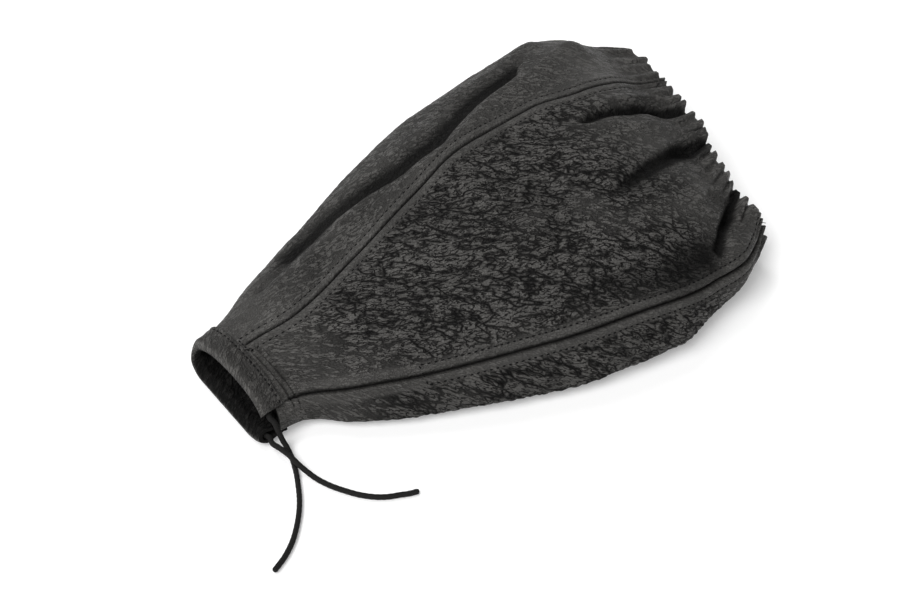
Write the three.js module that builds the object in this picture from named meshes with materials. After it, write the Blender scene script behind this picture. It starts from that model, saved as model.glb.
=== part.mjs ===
import * as THREE from 'three';

// A gear lever gaiter of soft black leather, lying on its side as it is stored.
// The bag runs along +X, from the narrow neck to the wide hem, and rests on its underside at z = 0.
// Four tapered panels are sewn edge to edge. A folded band at the neck holds a drawstring, and a strip
// of elastic sewn inside the wide end gathers the hem. All sizes are in millimetres.

// Hide, seams and clearances
const LEATHER = 1.1; // thickness of the hide
const GAP = 0.3; // clearance between neighbours that touch
const ALLOWANCE = 8; // width of the edge that is turned in beside a seam
const SEAM_GROOVE = 1.0; // how deep the two edges roll in at a seam
const SEAM_ROLL = 1.2; // width of that roll
const SEAM_PUFF = 0.45; // how far the doubled hide stands up beside a seam
const SEAM_PUFF_AT = 3.2; // distance of the highest line from the seam
const SEAM_START = 7; // length over which the seams thicken, past the neck band

// The lie of the bag. Each rib is a section across it: its distance from the rib before, how far it
// reaches to the left and right of the centre line, the height of its crown and of its left and right edges,
// how far its underside is off the ground, and where its seams lie, as shares of its half width from
// -1 at the right edge to 1 at the left: left and right seam on top, right and left seam underneath.
const RIBS = [
  { bay: 0, left: 26, right: 29, crown: 17.5, edges: [9, 7.5], lift: 2.2, seams: [0.35, -0.82, -0.12, 0.9] },
  { bay: 14, left: 34.5, right: 27, crown: 18, edges: [8.5, 7], lift: 1.2, seams: [0.25, -0.82, -0.22, 0.9] },
  { bay: 19, left: 46, right: 38.5, crown: 25, edges: [10, 7], lift: 0, seams: [0.13, -0.84, -0.27, 0.91] },
  { bay: 34, left: 62.5, right: 53, crown: 33, edges: [13, 8], lift: 0, seams: [0.25, -0.87, -0.29, 0.92] },
  { bay: 35, left: 81.5, right: 64, crown: 40, edges: [15, 8], lift: 0, seams: [0.33, -0.88, -0.31, 0.92] },
  { bay: 35, left: 96, right: 71.5, crown: 44.5, edges: [17, 9], lift: 0, seams: [0.4, -0.89, -0.31, 0.92] },
  { bay: 35, left: 105, right: 73, crown: 46, edges: [19, 10], lift: 0, seams: [0.4, -0.91, -0.31, 0.91] },
  { bay: 25, left: 109.5, right: 65, crown: 45, edges: [20, 12], lift: 0, seams: [0.32, -0.965, -0.34, 0.9] },
  { bay: 17, left: 106, right: 60.5, crown: 41, edges: [20, 14], lift: 0.3, seams: [0.345, -0.975, -0.38, 0.88] },
  { bay: 14, left: 97, right: 52, crown: 33, edges: [17, 14], lift: 1.8, seams: [0.4, -0.97, -0.41, 0.85] },
  { bay: 12, left: 88, right: 42, crown: 30, edges: [16, 14], lift: 2.6, seams: [0.42, -0.96, -0.43, 0.82] },
];
const TOP_ROUND = 2.3; // squareness of the upper half of a section, 2 for an ellipse
const UNDER_ROUND = 3.2; // squareness of the lower half
const UNDER_PRESS = 1.12; // how hard the underside is pressed flat on the ground
const NECK_LIP = 6.5; // how far the lower lip of the neck runs out past the upper one
const NECK_LIP_FADE = 30; // distance from the neck over which that fades
const NECK_SLANT = -0.1; // slant of the neck across the bag, as a slope
const NECK_SLANT_FADE = 120;
// How far the hem runs out beyond square at places across it, from the right edge at -1 to the left at 1
const HEM_REACH = [[-1, -5.5], [-0.65, -7.5], [-0.35, -4], [-0.05, 2.5], [0.3, 3.5], [0.7, 8], [1, 10.5]];
const HEM_REACH_FADE = 110; // distance from the hem over which that fades

// Soft folds: the half width of each, its height at the start and end of its path, outwards if above
// zero, and its path as distance back from the hem edge and share of the half width.
const FOLDS = [
  { width: 5, rise: [0.6, 2.8], path: [[149, 0.5], [128, 0.47], [100, 0.53], [72, 0.63], [50, 0.65], [32, 0.76]] },
  { width: 5.5, rise: [-2.2, -2.6], path: [[192, 0.72], [171, 0.7], [153, 0.66], [132, 0.56], [114, 0.61], [84, 0.72]] },
  { width: 3.4, rise: [-2, -5], path: [[50, 0.15], [40, 0.16], [27, 0.18], [16, 0.2], [6, 0.17]] },
  { width: 4, rise: [0.8, 1.6], path: [[62, 0.28], [40, 0.25], [18, 0.28]] },
  { width: 4.5, rise: [1.2, 2.2], path: [[50, 0.07], [37, 0.06], [26, 0], [16, -0.05], [6, -0.14]] },
  { width: 5, rise: [-1.5, -4], path: [[58, -0.32], [46, -0.31], [32, -0.28], [20, -0.24], [8, -0.25]] },
  { width: 4, rise: [-2, -4.5], path: [[34, -0.86], [18, -0.77], [6, -0.72]] },
  { width: 3.6, rise: [1.2, 2.4], path: [[26, -0.62], [14, -0.64], [7, -0.52]] },
  { width: 5, rise: [2.2, 2.6], path: [[16, -0.93], [3, -0.9]] },
  { width: 5, rise: [-1.4, -0.9], path: [[78, 0.11], [90, -0.19], [108, -0.59]] },
  { width: 4.5, rise: [-1.4, -0.8], path: [[79, 0.08], [72, -0.21], [68, -0.44]] },
  { width: 9, rise: [-1.2, -2], path: [[92, -0.66], [55, -0.62]] },
  { width: 5, rise: [1.2, 1.6], path: [[62, 0.82], [42, 0.9]] },
];
const FOLD_HEM_START = 22; // distance from the hem where the elastic starts to even the folds out
const FOLD_HEM_LENGTH = 13;
const FOLD_AT_HEM = 0.2; // share of a fold that is left at the hem

// Gathers of the hem, and the elastic that makes them
const PLEAT_PITCH = 6.6;
const PLEAT_START = 26; // distance from the hem edge where the gathers begin
const PLEAT_AT_ELASTIC = 1.2; // half height of a gather at the elastic
const PLEAT_AT_EDGE = 2.0; // half height at the raw edge
const PLEAT_FLARE = 0.7; // how far the raw edge stands out
const ELASTIC_WIDTH = 6;
const ELASTIC_THICKNESS = 0.9;
const ELASTIC_INSET = 8.5; // distance from the raw edge to the middle of the elastic

// Neck band and drawstring
const BAND_WIDTH = 10;
const BAND_TUCK = 3.8; // how far the panels reach into the fold of the band
const CORD = 2.3; // diameter of the drawstring
const CORD_PLAY = 0.5; // play of the drawstring in its tunnel
const TUNNEL_END = 5.6; // distance from the rim to where the tunnel closes
const MOUTH_UPPER = 0.8; // the band's upper end, as an angle in half turns from the left edge over the top
const MOUTH_LOWER = 1.13; // the band's lower end
const TAIL_START = 1.6; // straight start of each tail
// Free ends of the drawstring, from the mouths of the tunnel to their bare ends on the ground
const UPPER_TAIL = [
  [-102.3, -27.3, 11.2], [-102.1, -29.7, 8.6], [-101.6, -31.9, 5.3], [-101.1, -34.9, 2.8], [-101.4, -39.5, 1.4],
  [-103.2, -46.4, 1.25], [-105.7, -53.1, 1.25], [-108.5, -59.6, 1.25], [-111.7, -65.4, 1.25], [-115.7, -71.2, 1.25],
  [-120.1, -76.5, 1.25], [-123.5, -79.7, 1.25], [-127.1, -82.5, 1.25], [-130.2, -84.4, 1.25], [-133.2, -86.1, 1.25],
];
const LOWER_TAIL = [
  [-105.9, -31.4, 4.9], [-104.4, -35.6, 4.9], [-102.9, -40.2, 4.7], [-101.5, -45.2, 3.5], [-99.7, -49.6, 2.0],
  [-97.8, -54.2, 1.25], [-94.8, -60, 1.25], [-91.1, -65.2, 1.25], [-87, -70, 1.25], [-82.4, -73.9, 1.25],
  [-78, -76.4, 1.25], [-73.4, -78, 1.25], [-69.8, -79.3, 1.25], [-66, -80.1, 1.25],
];

// Fineness of the meshes
const ROW_STEP = 8.6; // spacing of the rows along the bag
const PLEAT_ROWS = [9, 4.5, 0]; // rows through the gathers, as distance from the hem edge
const BAND_STEPS = 38;
const ELASTIC_STEPS = 60;
const ARC_SAMPLES = 360;
const ROUND_SIDES = 8;
const TAIL_STEPS = 17;

const leather = new THREE.MeshStandardMaterial({ color: 0x302f2e, roughness: 0.55, metalness: 0 });
const bandLeather = new THREE.MeshStandardMaterial({ color: 0x292827, roughness: 0.6, metalness: 0 });
const braid = new THREE.MeshStandardMaterial({ color: 0x1b1b1c, roughness: 0.9, metalness: 0 });
const webbing = new THREE.MeshStandardMaterial({ color: 0x232324, roughness: 0.95, metalness: 0 });

const clamp = THREE.MathUtils.clamp;
const smooth = (x) => THREE.MathUtils.smoothstep(x, 0, 1);

// A curve through stations that never overshoots them
function through(xs, ys) {
  const last = xs.length - 1;
  const step = ys.slice(1).map((y, i) => xs[i + 1] - xs[i]);
  const slope = step.map((length, i) => (ys[i + 1] - ys[i]) / length);
  const tangent = ys.map((y, i) => {
    if (i === 0) return slope[0];
    if (i === last) return slope[last - 1];
    if (slope[i - 1] * slope[i] <= 0) return 0;
    const before = 2 * step[i] + step[i - 1];
    const after = step[i] + 2 * step[i - 1];
    return (before + after) / (before / slope[i - 1] + after / slope[i]);
  });
  return (x) => {
    let i = 0;
    while (i < last - 1 && x >= xs[i + 1]) i += 1;
    const t = (x - xs[i]) / step[i];
    const rise = ys[i] * (2 * t ** 3 - 3 * t ** 2 + 1) + ys[i + 1] * (3 * t ** 2 - 2 * t ** 3);
    return rise + step[i] * (tangent[i] * (t ** 3 - 2 * t ** 2 + t) + tangent[i + 1] * (t ** 3 - t ** 2));
  };
}

// Straight lines through a few points, level beyond the ends
function betweenPoints(points, x) {
  if (x <= points[0][0]) return points[0][1];
  for (let i = 1; i < points.length; i += 1) {
    const [x0, y0] = points[i - 1];
    const [x1, y1] = points[i];
    if (x <= x1) return y0 + ((y1 - y0) * (x - x0)) / (x1 - x0);
  }
  return points[points.length - 1][1];
}

const stations = [];
for (const rib of RIBS) stations.push((stations.at(-1) ?? 0) + rib.bay);
const HEM = stations.at(-1);
const NECK_X = -(HEM - 26) / 2;
const along = (pick) => through(stations, RIBS.map(pick));
const reachLeft = along((rib) => rib.left);
const reachRight = along((rib) => rib.right);
const crownHeight = along((rib) => rib.crown);
const leftEdge = along((rib) => rib.edges[0]);
const rightEdge = along((rib) => rib.edges[1]);
const lift = along((rib) => rib.lift);
const seamLines = [0, 1, 2, 3].map((k) => along((rib) => rib.seams[k]));

// The smooth outer skin: s runs from the neck rim to the hem, and the angle from the left edge over the
// top to the right edge and back underneath.
function skin(s, angle) {
  const middle = (reachLeft(s) - reachRight(s)) / 2;
  const half = (reachLeft(s) + reachRight(s)) / 2;
  const cos = Math.cos(angle);
  const sin = Math.sin(angle);
  const over = sin >= 0;
  const power = 2 / (over ? TOP_ROUND : UNDER_ROUND);
  const share = Math.sign(cos) * Math.abs(cos) ** power;
  const swell = Math.abs(sin) ** power;
  const edge = rightEdge(s) + ((leftEdge(s) - rightEdge(s)) * (share + 1)) / 2;
  const ground = Math.max(lift(s), 0);
  const z = over
    ? edge + (crownHeight(s) - edge) * swell
    : Math.max(ground, edge - (edge - ground) * UNDER_PRESS * swell);
  const y = middle + half * share;
  const lip = NECK_LIP * clamp(1 - s / NECK_LIP_FADE, 0, 1) ** 2 * clamp(1 - z / crownHeight(s), 0, 1);
  const slant = NECK_SLANT * clamp(1 - s / NECK_SLANT_FADE, 0, 1) * half * share;
  const nearHem = clamp(1 - (HEM - s) / HEM_REACH_FADE, 0, 1) ** 1.3;
  return new THREE.Vector3(NECK_X + s + slant - lip + nearHem * betweenPoints(HEM_REACH, share), y, z);
}

function outward(s, angle) {
  const ds = skin(s + 0.4, angle).sub(skin(s - 0.4, angle));
  const da = skin(s, angle + 0.004).sub(skin(s, angle - 0.004));
  return da.cross(ds).normalize();
}

// The angle at which a seam lies at s. Seams 0 and 1 lie on top, 2 and 3 underneath.
function seamAngle(seam, s) {
  const share = clamp(seamLines[seam](s), -0.98, 0.98);
  const power = (seam < 2 ? TOP_ROUND : UNDER_ROUND) / 2;
  const onTop = Math.acos(Math.sign(share) * Math.abs(share) ** power);
  return seam < 2 ? onTop : 2 * Math.PI - onTop;
}

// The section at s as arc lengths, so that places across a panel are true distances
function arcAt(s, from, to) {
  const angles = [];
  const lengths = [0];
  let last = null;
  for (let i = 0; i <= ARC_SAMPLES; i += 1) {
    const angle = from + ((to - from) * i) / ARC_SAMPLES;
    const here = skin(s, angle);
    if (last) lengths.push(lengths.at(-1) + here.distanceTo(last));
    angles.push(angle);
    last = here;
  }
  const total = lengths.at(-1);
  const angleAt = (length) => betweenPoints(lengths.map((l, i) => [l, angles[i]]), clamp(length, 0, total));
  return { total, angleAt };
}

// Height of the folds at a place on the top and sides
function foldHeight(s, angle) {
  const half = (reachLeft(s) + reachRight(s)) / 2;
  const cos = Math.cos(angle);
  const sin = Math.sin(angle);
  const share = Math.sign(cos) * Math.abs(cos) ** (2 / (sin >= 0 ? TOP_ROUND : UNDER_ROUND));
  const upper = smooth((sin + 0.15) / 0.25);
  const evened = smooth((s - (HEM - FOLD_HEM_START)) / FOLD_HEM_LENGTH);
  const keep = upper * (1 - (1 - FOLD_AT_HEM) * evened);
  let height = 0;
  for (const { width, rise, path } of FOLDS) {
    let best = Infinity;
    let level = 0;
    for (let i = 1; i < path.length; i += 1) {
      const [s0, s1] = [HEM - path[i - 1][0], HEM - path[i][0]];
      const [y0, y1] = [path[i - 1][1] * half, path[i][1] * half];
      const run = (s1 - s0) ** 2 + (y1 - y0) ** 2;
      const t = clamp(((s - s0) * (s1 - s0) + (share * half - y0) * (y1 - y0)) / run, 0, 1);
      const away = Math.hypot(s - s0 - t * (s1 - s0), share * half - y0 - t * (y1 - y0));
      if (away < best) {
        best = away;
        level = rise[0] + ((rise[1] - rise[0]) * (i - 1 + t)) / (path.length - 1);
      }
    }
    height += level * Math.exp(-((best / width) ** 2));
  }
  return height * keep;
}

// Doubled hide beside a seam: how high the outside stands, and how thick the wall is
function seamForm(s, away) {
  const grown = smooth((s - BAND_WIDTH - GAP) / SEAM_START);
  const height = betweenPoints(
    [[0, -SEAM_GROOVE], [SEAM_ROLL, -0.1 * SEAM_GROOVE], [SEAM_PUFF_AT, SEAM_PUFF], [ALLOWANCE, 0]], away);
  const doubled = betweenPoints([[SEAM_PUFF_AT, 1], [ALLOWANCE, 0]], away);
  return { height: height * grown, wall: LEATHER * (1 + doubled * grown) };
}

// Half height of the gathers at s
function pleatHeight(s) {
  const toHem = HEM - s;
  return betweenPoints([[0, PLEAT_AT_EDGE], [ELASTIC_INSET, PLEAT_AT_ELASTIC], [PLEAT_START, 0]], toHem);
}

// One closed body from rows of outer and inner points, with as many points in a row as it needs
function shell(rows) {
  const outer = rows.flatMap((row) => row.map((point) => point.outer));
  const inner = rows.flatMap((row) => row.map((point) => point.inner));
  const count = outer.length;
  const starts = [];
  rows.reduce((sum, row) => {
    starts.push(sum);
    return sum + row.length;
  }, 0);
  const faces = [];
  for (let r = 1; r < rows.length; r += 1) {
    const [below, above] = [rows[r - 1], rows[r]];
    let i = 0;
    let j = 0;
    while (i < below.length - 1 || j < above.length - 1) {
      const a = starts[r - 1] + i;
      const b = starts[r] + j;
      const nextBelow = i < below.length - 1 ? below[i + 1].across : Infinity;
      const nextAbove = j < above.length - 1 ? above[j + 1].across : Infinity;
      if (nextBelow <= nextAbove) {
        faces.push([a, a + 1, b]);
        i += 1;
      } else {
        faces.push([a, b + 1, b]);
        j += 1;
      }
    }
  }
  const edges = new Set(faces.flatMap(([a, b, c]) => [`${a} ${b}`, `${b} ${c}`, `${c} ${a}`]));
  const all = faces.flatMap(([a, b, c]) => [[a, b, c], [a + count, c + count, b + count]]);
  for (const [a, b, c] of faces) {
    for (const [from, to] of [[a, b], [b, c], [c, a]]) {
      if (!edges.has(`${to} ${from}`)) all.push([to, from, from + count], [to, from + count, to + count]);
    }
  }
  return solid([...outer, ...inner], all);
}

function solid(points, faces) {
  const geometry = new THREE.BufferGeometry();
  geometry.setAttribute('position', new THREE.Float32BufferAttribute(points.flatMap((p) => p.toArray()), 3));
  geometry.setIndex(faces.flat());
  geometry.computeVertexNormals();
  return geometry;
}

const onGround = (point) => point.setZ(Math.max(point.z, 0));

// A panel between two seams. Its free edge at the neck is tucked into the band, and its hem is gathered.
function panelGeometry(firstSeam, lastSeam, bodyColumns) {
  const turn = firstSeam > lastSeam ? 2 * Math.PI : 0;
  const edges = [0, SEAM_ROLL, SEAM_PUFF_AT, ALLOWANCE];
  const hemArc = arcAt(HEM, seamAngle(firstSeam, HEM), seamAngle(lastSeam, HEM) + turn);
  const pleats = Math.max(2, Math.round(hemArc.total / PLEAT_PITCH));
  const neckEdge = BAND_WIDTH - BAND_TUCK;
  const bodyEnd = HEM - PLEAT_START;
  const bodyRows = Math.ceil((bodyEnd - BAND_WIDTH) / ROW_STEP);
  const places = [neckEdge];
  for (let r = 0; r <= bodyRows; r += 1) places.push(BAND_WIDTH + ((bodyEnd - BAND_WIDTH) * r) / bodyRows);
  const rows = places.map((s) => {
    const arc = arcAt(s, seamAngle(firstSeam, s), seamAngle(lastSeam, s) + turn);
    const middle = arc.total - 2 * ALLOWANCE;
    const inside = Array.from({ length: bodyColumns - 1 }, (_, i) => ALLOWANCE + (middle * (i + 1)) / bodyColumns);
    const columns = [...edges, ...inside, ...edges.toReversed().map((d) => arc.total - d)];
    return columns.map((length) => ({ s, arc, length, lift: 0 }));
  });
  for (const toHem of PLEAT_ROWS) {
    const s = HEM - toHem;
    const arc = arcAt(s, seamAngle(firstSeam, s), seamAngle(lastSeam, s) + turn);
    const row = [{ s, arc, length: 0, lift: 0 }];
    for (let k = 0; k < pleats; k += 1) {
      for (const [phase, side] of [[0.12, 1], [0.38, 1], [0.62, -1], [0.88, -1]]) {
        const place = (k + phase + 0.16 * Math.sin(2.3 * k + 1.7 * firstSeam)) / pleats;
        row.push({ s, arc, length: place * arc.total, lift: side * pleatHeight(s) });
      }
    }
    row.push({ s, arc, length: arc.total, lift: 0 });
    rows.push(row);
  }
  return shell(rows.map((row) => row.map((point) => placed(point))));
}

// The outer and inner points of a wall at a distance along the arc of a row
function placed({ s, arc, length, lift: pleat }) {
  const angle = arc.angleAt(length);
  const normal = outward(s, angle);
  const away = Math.min(length, arc.total - length);
  const { height, wall } = seamForm(s, away);
  const flare = PLEAT_FLARE * smooth(1 - (HEM - s) / ELASTIC_INSET);
  const rise = height + foldHeight(s, angle) + pleat * smooth(away / SEAM_PUFF_AT) + flare;
  const along = skin(s, angle + 0.004).sub(skin(s, angle - 0.004)).normalize();
  const inset = length <= 0 ? GAP / 2 : length >= arc.total ? -GAP / 2 : 0;
  const base = skin(s, angle).addScaledVector(along, inset);
  const outer = onGround(base.clone().addScaledVector(normal, rise));
  const inner = outer.clone().addScaledVector(normal, -wall);
  return { outer, inner, across: length / arc.total };
}

// A point beside the skin, by its distance from the rim and its height over the middle of the hide
function beside(s, angle, height) {
  return onGround(skin(s, angle).addScaledVector(outward(s, angle), height - LEATHER / 2));
}

// The neck band: a strip folded over the drawstring, whose two legs hold the panels' edges between them
function bandGeometry() {
  const slot = LEATHER / 2 + GAP;
  const tunnel = CORD / 2 + CORD_PLAY;
  const nose = tunnel + LEATHER;
  const halfCircle = (radius) => [0.5, 0.75, 1, 1.25, 1.5].map((turn) => [
    nose + radius * Math.cos(turn * Math.PI), radius * Math.sin(turn * Math.PI)]);
  const outline = [
    [BAND_WIDTH, slot], [BAND_WIDTH, slot + LEATHER], [TUNNEL_END, slot + LEATHER], ...halfCircle(nose),
    [TUNNEL_END, -slot - LEATHER], [BAND_WIDTH, -slot - LEATHER], [BAND_WIDTH, -slot], [TUNNEL_END, -slot],
    ...halfCircle(tunnel).toReversed(), [TUNNEL_END, slot],
  ];
  const from = MOUTH_LOWER * Math.PI;
  const to = (2 + MOUTH_UPPER) * Math.PI;
  const arc = arcAt(nose, from, to);
  const points = [];
  for (let k = 0; k <= BAND_STEPS; k += 1) {
    const angle = arc.angleAt((arc.total * k) / BAND_STEPS);
    for (const [s, height] of outline) points.push(beside(s, angle, height));
  }
  const size = outline.length;
  const faces = [];
  for (let k = 0; k < BAND_STEPS; k += 1) {
    for (let i = 0; i < size; i += 1) {
      const [a, b] = [k * size + i, k * size + ((i + 1) % size)];
      faces.push([a, b, a + size], [b, b + size, a + size]);
    }
  }
  const caps = THREE.ShapeUtils.triangulateShape(outline.map(([x, y]) => new THREE.Vector2(x, y)), []);
  const end = BAND_STEPS * size;
  for (const [a, b, c] of caps) faces.push([a, c, b], [a + end, b + end, c + end]);
  return solid(points, faces);
}

// A round cord along a curve
function cordGeometry(curve, steps) {
  const radius = CORD / 2;
  const corners = Array.from({ length: ROUND_SIDES }, (_, i) => {
    const turn = (2 * Math.PI * (i + 0.5)) / ROUND_SIDES;
    return new THREE.Vector2(radius * Math.cos(turn), radius * Math.sin(turn));
  });
  return new THREE.ExtrudeGeometry(new THREE.Shape(corners), { steps, bevelEnabled: false, extrudePath: curve });
}

// The drawstring's held part runs through the tunnel of the band
function loopCurve() {
  const depth = CORD / 2 + CORD_PLAY + LEATHER;
  const arc = arcAt(depth, MOUTH_LOWER * Math.PI, (2 + MOUTH_UPPER) * Math.PI);
  const points = [];
  for (let k = 0; k <= BAND_STEPS; k += 1) points.push(beside(depth, arc.angleAt((arc.total * k) / BAND_STEPS), 0));
  return new THREE.CatmullRomCurve3(points, false, 'centripetal');
}

function tailCurve(mouth, direction, route) {
  const start = mouth.clone().addScaledVector(direction, GAP);
  const straight = start.clone().addScaledVector(direction, TAIL_START);
  return new THREE.CatmullRomCurve3([start, straight, ...route.map((p) => new THREE.Vector3(...p))], false, 'centripetal');
}

// The elastic lies against the inside of the gathers
function elasticGeometry() {
  const middle = HEM - ELASTIC_INSET;
  const face = SEAM_GROOVE + 2 * LEATHER + 2 * GAP;
  const section = [
    [middle - ELASTIC_WIDTH / 2, face], [middle - ELASTIC_WIDTH / 2, face + ELASTIC_THICKNESS],
    [middle + ELASTIC_WIDTH / 2, face + ELASTIC_THICKNESS], [middle + ELASTIC_WIDTH / 2, face],
  ];
  const arc = arcAt(middle, 0, 2 * Math.PI);
  const points = [];
  for (let k = 0; k < ELASTIC_STEPS; k += 1) {
    const angle = arc.angleAt((arc.total * k) / ELASTIC_STEPS);
    for (const [s, depth] of section) {
      points.push(skin(s, angle).addScaledVector(outward(s, angle), foldHeight(middle, angle) - depth));
    }
  }
  const size = section.length;
  const faces = [];
  for (let k = 0; k < ELASTIC_STEPS; k += 1) {
    for (let i = 0; i < size; i += 1) {
      const next = ((k + 1) % ELASTIC_STEPS) * size;
      const [a, b] = [k * size + i, k * size + ((i + 1) % size)];
      const [c, d] = [next + i, next + ((i + 1) % size)];
      faces.push([a, b, c], [b, d, c]);
    }
  }
  return solid(points, faces);
}

function part(name, geometry, material) {
  const mesh = new THREE.Mesh(geometry, material);
  mesh.name = name;
  return mesh;
}

const loop = loopCurve();
const upperTail = tailCurve(loop.getPoint(1), loop.getTangent(1), UPPER_TAIL);
const lowerTail = tailCurve(loop.getPoint(0), loop.getTangent(0).negate(), LOWER_TAIL);

const bag = [
  part('panel_top', panelGeometry(0, 1, 13), leather),
  part('panel_right', panelGeometry(1, 2, 7), leather),
  part('panel_bottom', panelGeometry(2, 3, 6), leather),
  part('panel_left', panelGeometry(3, 0, 9), leather),
  part('neck_band', bandGeometry(), bandLeather),
  part('hem_elastic', elasticGeometry(), webbing),
  part('drawstring_loop', cordGeometry(loop, BAND_STEPS), braid),
];
const tails = [
  part('drawstring_tail_upper', cordGeometry(upperTail, TAIL_STEPS), braid),
  part('drawstring_tail_lower', cordGeometry(lowerTail, TAIL_STEPS), braid),
];

const gaiter = new THREE.Group();
gaiter.add(...bag, ...tails);

// The origin is the middle of the bag's footprint, on the ground
const box = new THREE.Box3();
for (const mesh of bag) box.expandByObject(mesh);
const middle = box.getCenter(new THREE.Vector3());
gaiter.position.set(-middle.x, -middle.y, -box.min.z);

export default gaiter;
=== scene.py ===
"""A gear lever gaiter of soft black leather, lying on its side on a white floor.

Four tapered panels are sewn edge to edge into a bag. A folded band at the narrow neck holds a braided
drawstring whose two ends lie loose, and elastic sewn inside the wide hem gathers it into ruffles.
The shape is worked out in millimetres in the pattern's own frame, and set down in the model's in metres.
"""
import math

import bpy
import numpy as np
from bpy.props import FloatProperty, FloatVectorProperty, IntProperty, PointerProperty
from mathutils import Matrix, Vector


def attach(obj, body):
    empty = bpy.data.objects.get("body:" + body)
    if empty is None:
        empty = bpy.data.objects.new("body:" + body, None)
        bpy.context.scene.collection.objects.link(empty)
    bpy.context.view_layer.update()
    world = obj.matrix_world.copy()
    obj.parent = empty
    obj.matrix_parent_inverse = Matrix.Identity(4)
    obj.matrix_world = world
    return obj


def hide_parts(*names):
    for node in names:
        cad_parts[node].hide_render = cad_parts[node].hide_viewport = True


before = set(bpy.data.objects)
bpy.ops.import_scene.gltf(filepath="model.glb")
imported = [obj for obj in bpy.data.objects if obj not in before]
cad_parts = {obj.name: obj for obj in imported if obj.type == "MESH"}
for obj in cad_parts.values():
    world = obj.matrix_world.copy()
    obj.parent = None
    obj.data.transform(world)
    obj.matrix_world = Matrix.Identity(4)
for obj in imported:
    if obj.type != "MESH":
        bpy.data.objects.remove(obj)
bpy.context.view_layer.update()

bl_info = {
    "name": "Leather gear lever gaiter",
    "version": (1, 0, 0),
    "blender": (4, 5, 0),
    "location": "View3D > Sidebar > Gaiter",
    "description": "Sews a gathered leather gaiter with its neck band, drawstring and stitching",
    "category": "Add Mesh",
}

MM = 0.001
BODY = "root"

# The lie of the bag, in millimetres: the distance from the rib before, the reach to the left and right of
# the centre line, the heights of the crown and of the left and right edges, and how far the underside is
# off the ground. Then come the seams, as shares of the half width: left and right on top, right and left
# underneath.
RIBS = (
    (0, 26, 29, 17.5, 9, 7.5, 2.2, (0.35, -0.82, -0.12, 0.9)),
    (14, 34.5, 27, 18, 8.5, 7, 1.2, (0.25, -0.82, -0.22, 0.9)),
    (19, 46, 38.5, 25, 10, 7, 0, (0.13, -0.84, -0.27, 0.91)),
    (34, 62.5, 53, 33, 13, 8, 0, (0.25, -0.87, -0.29, 0.92)),
    (35, 81.5, 64, 40, 15, 8, 0, (0.33, -0.88, -0.31, 0.92)),
    (35, 96, 71.5, 44.5, 17, 9, 0, (0.4, -0.89, -0.31, 0.92)),
    (35, 105, 73, 46, 19, 10, 0, (0.4, -0.91, -0.31, 0.91)),
    (25, 109.5, 65, 45, 20, 12, 0, (0.32, -0.965, -0.34, 0.9)),
    (17, 106, 60.5, 41, 20, 14, 0.3, (0.345, -0.975, -0.38, 0.88)),
    (14, 97, 52, 33, 17, 14, 1.8, (0.4, -0.97, -0.41, 0.85)),
    (12, 88, 42, 30, 16, 14, 2.6, (0.42, -0.96, -0.43, 0.82)),
)
# How square the section is on top and underneath, and how hard its underside is pressed to the ground
TOP_ROUND = 2.3
UNDER_ROUND = 3.2
UNDER_PRESS = 1.12
# How much further from the pattern's origin the hem lies than the neck
HEM_FURTHER = 26
# The neck's lower lip reaches out and its rim slants, and the hem reaches out by the share of the half
# width. Each fades along the bag.
NECK_LIP = 6.5
NECK_LIP_FADE = 30
NECK_SLANT = -0.1
NECK_SLANT_FADE = 120
HEM_REACH = ((-1, -5.5), (-0.65, -7.5), (-0.35, -4), (-0.05, 2.5), (0.3, 3.5), (0.7, 8), (1, 10.5))
HEM_REACH_FADE = 110

# Soft folds: how far each spreads to its left and right, its height at the start and end, and its path as
# distance back from the hem edge and share of the half width.
FOLDS = (
    (1.8, 8, (1.6, 4.4), ((150, 0.48), (120, 0.46), (100, 0.49), (77, 0.59), (50, 0.62), (31, 0.74))),
    (8, 3, (-2.8, -4), (
        (190, 0.77), (170, 0.75), (149, 0.66), (130, 0.58), (109, 0.57), (86, 0.67), (60, 0.74))),
    (1.6, 4.5, (-3, -9), ((50, 0.15), (40, 0.14), (30, 0.13), (21, 0.14), (12, 0.14), (3, 0.12))),
    (5, 1.8, (1, 2.6), ((56, 0.22), (50, 0.19), (32, 0.18), (21, 0.2), (8, 0.24))),
    (2, 5, (1, 2.4), ((59, 0.14), (48, 0.05), (38, -0.03), (18, -0.06), (8, -0.14))),
    (2.4, 6.5, (-2, -7), ((58, -0.31), (53, -0.32), (42, -0.31), (27, -0.27), (16, -0.22), (4, -0.22))),
    (2.4, 3, (-3, -8), ((31, -0.87), (23, -0.8), (12, -0.75), (2, -0.71))),
    (4, 2.6, (1.8, 3.4), ((26, -0.62), (18, -0.55), (12, -0.62), (5, -0.6))),
    (5, 5, (2.4, 3), ((21, -0.91), (3, -0.89))),
    (5, 5, (-1.2, -0.9), ((85, -0.08), (94, -0.32), (106, -0.55))),
    (4.5, 4.5, (-0.8, -1), ((76, 0.04), (70, -0.18), (64, -0.31))),
    (12, 9, (-1.6, -2.7), ((88, -0.76), (62, -0.84), (40, -0.87))),
    (5, 5, (1.2, 1.6), ((62, 0.82), (42, 0.9))),
    (7, 7, (0.9, 0.7), ((115, 0.3), (100, 0.2), (84, 0.12))),
    (5, 6, (0.8, 1.4), ((48, -0.48), (42, -0.6), (35, -0.7))),
    (4, 3, (-1.6, -1.2), ((208, 0.73), (198, 0.71), (184, 0.69), (171, 0.66))),
    (3, 2.4, (-1.2, -0.8), ((189, 0.32), (184, 0.41), (172, 0.56))),
)
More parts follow.
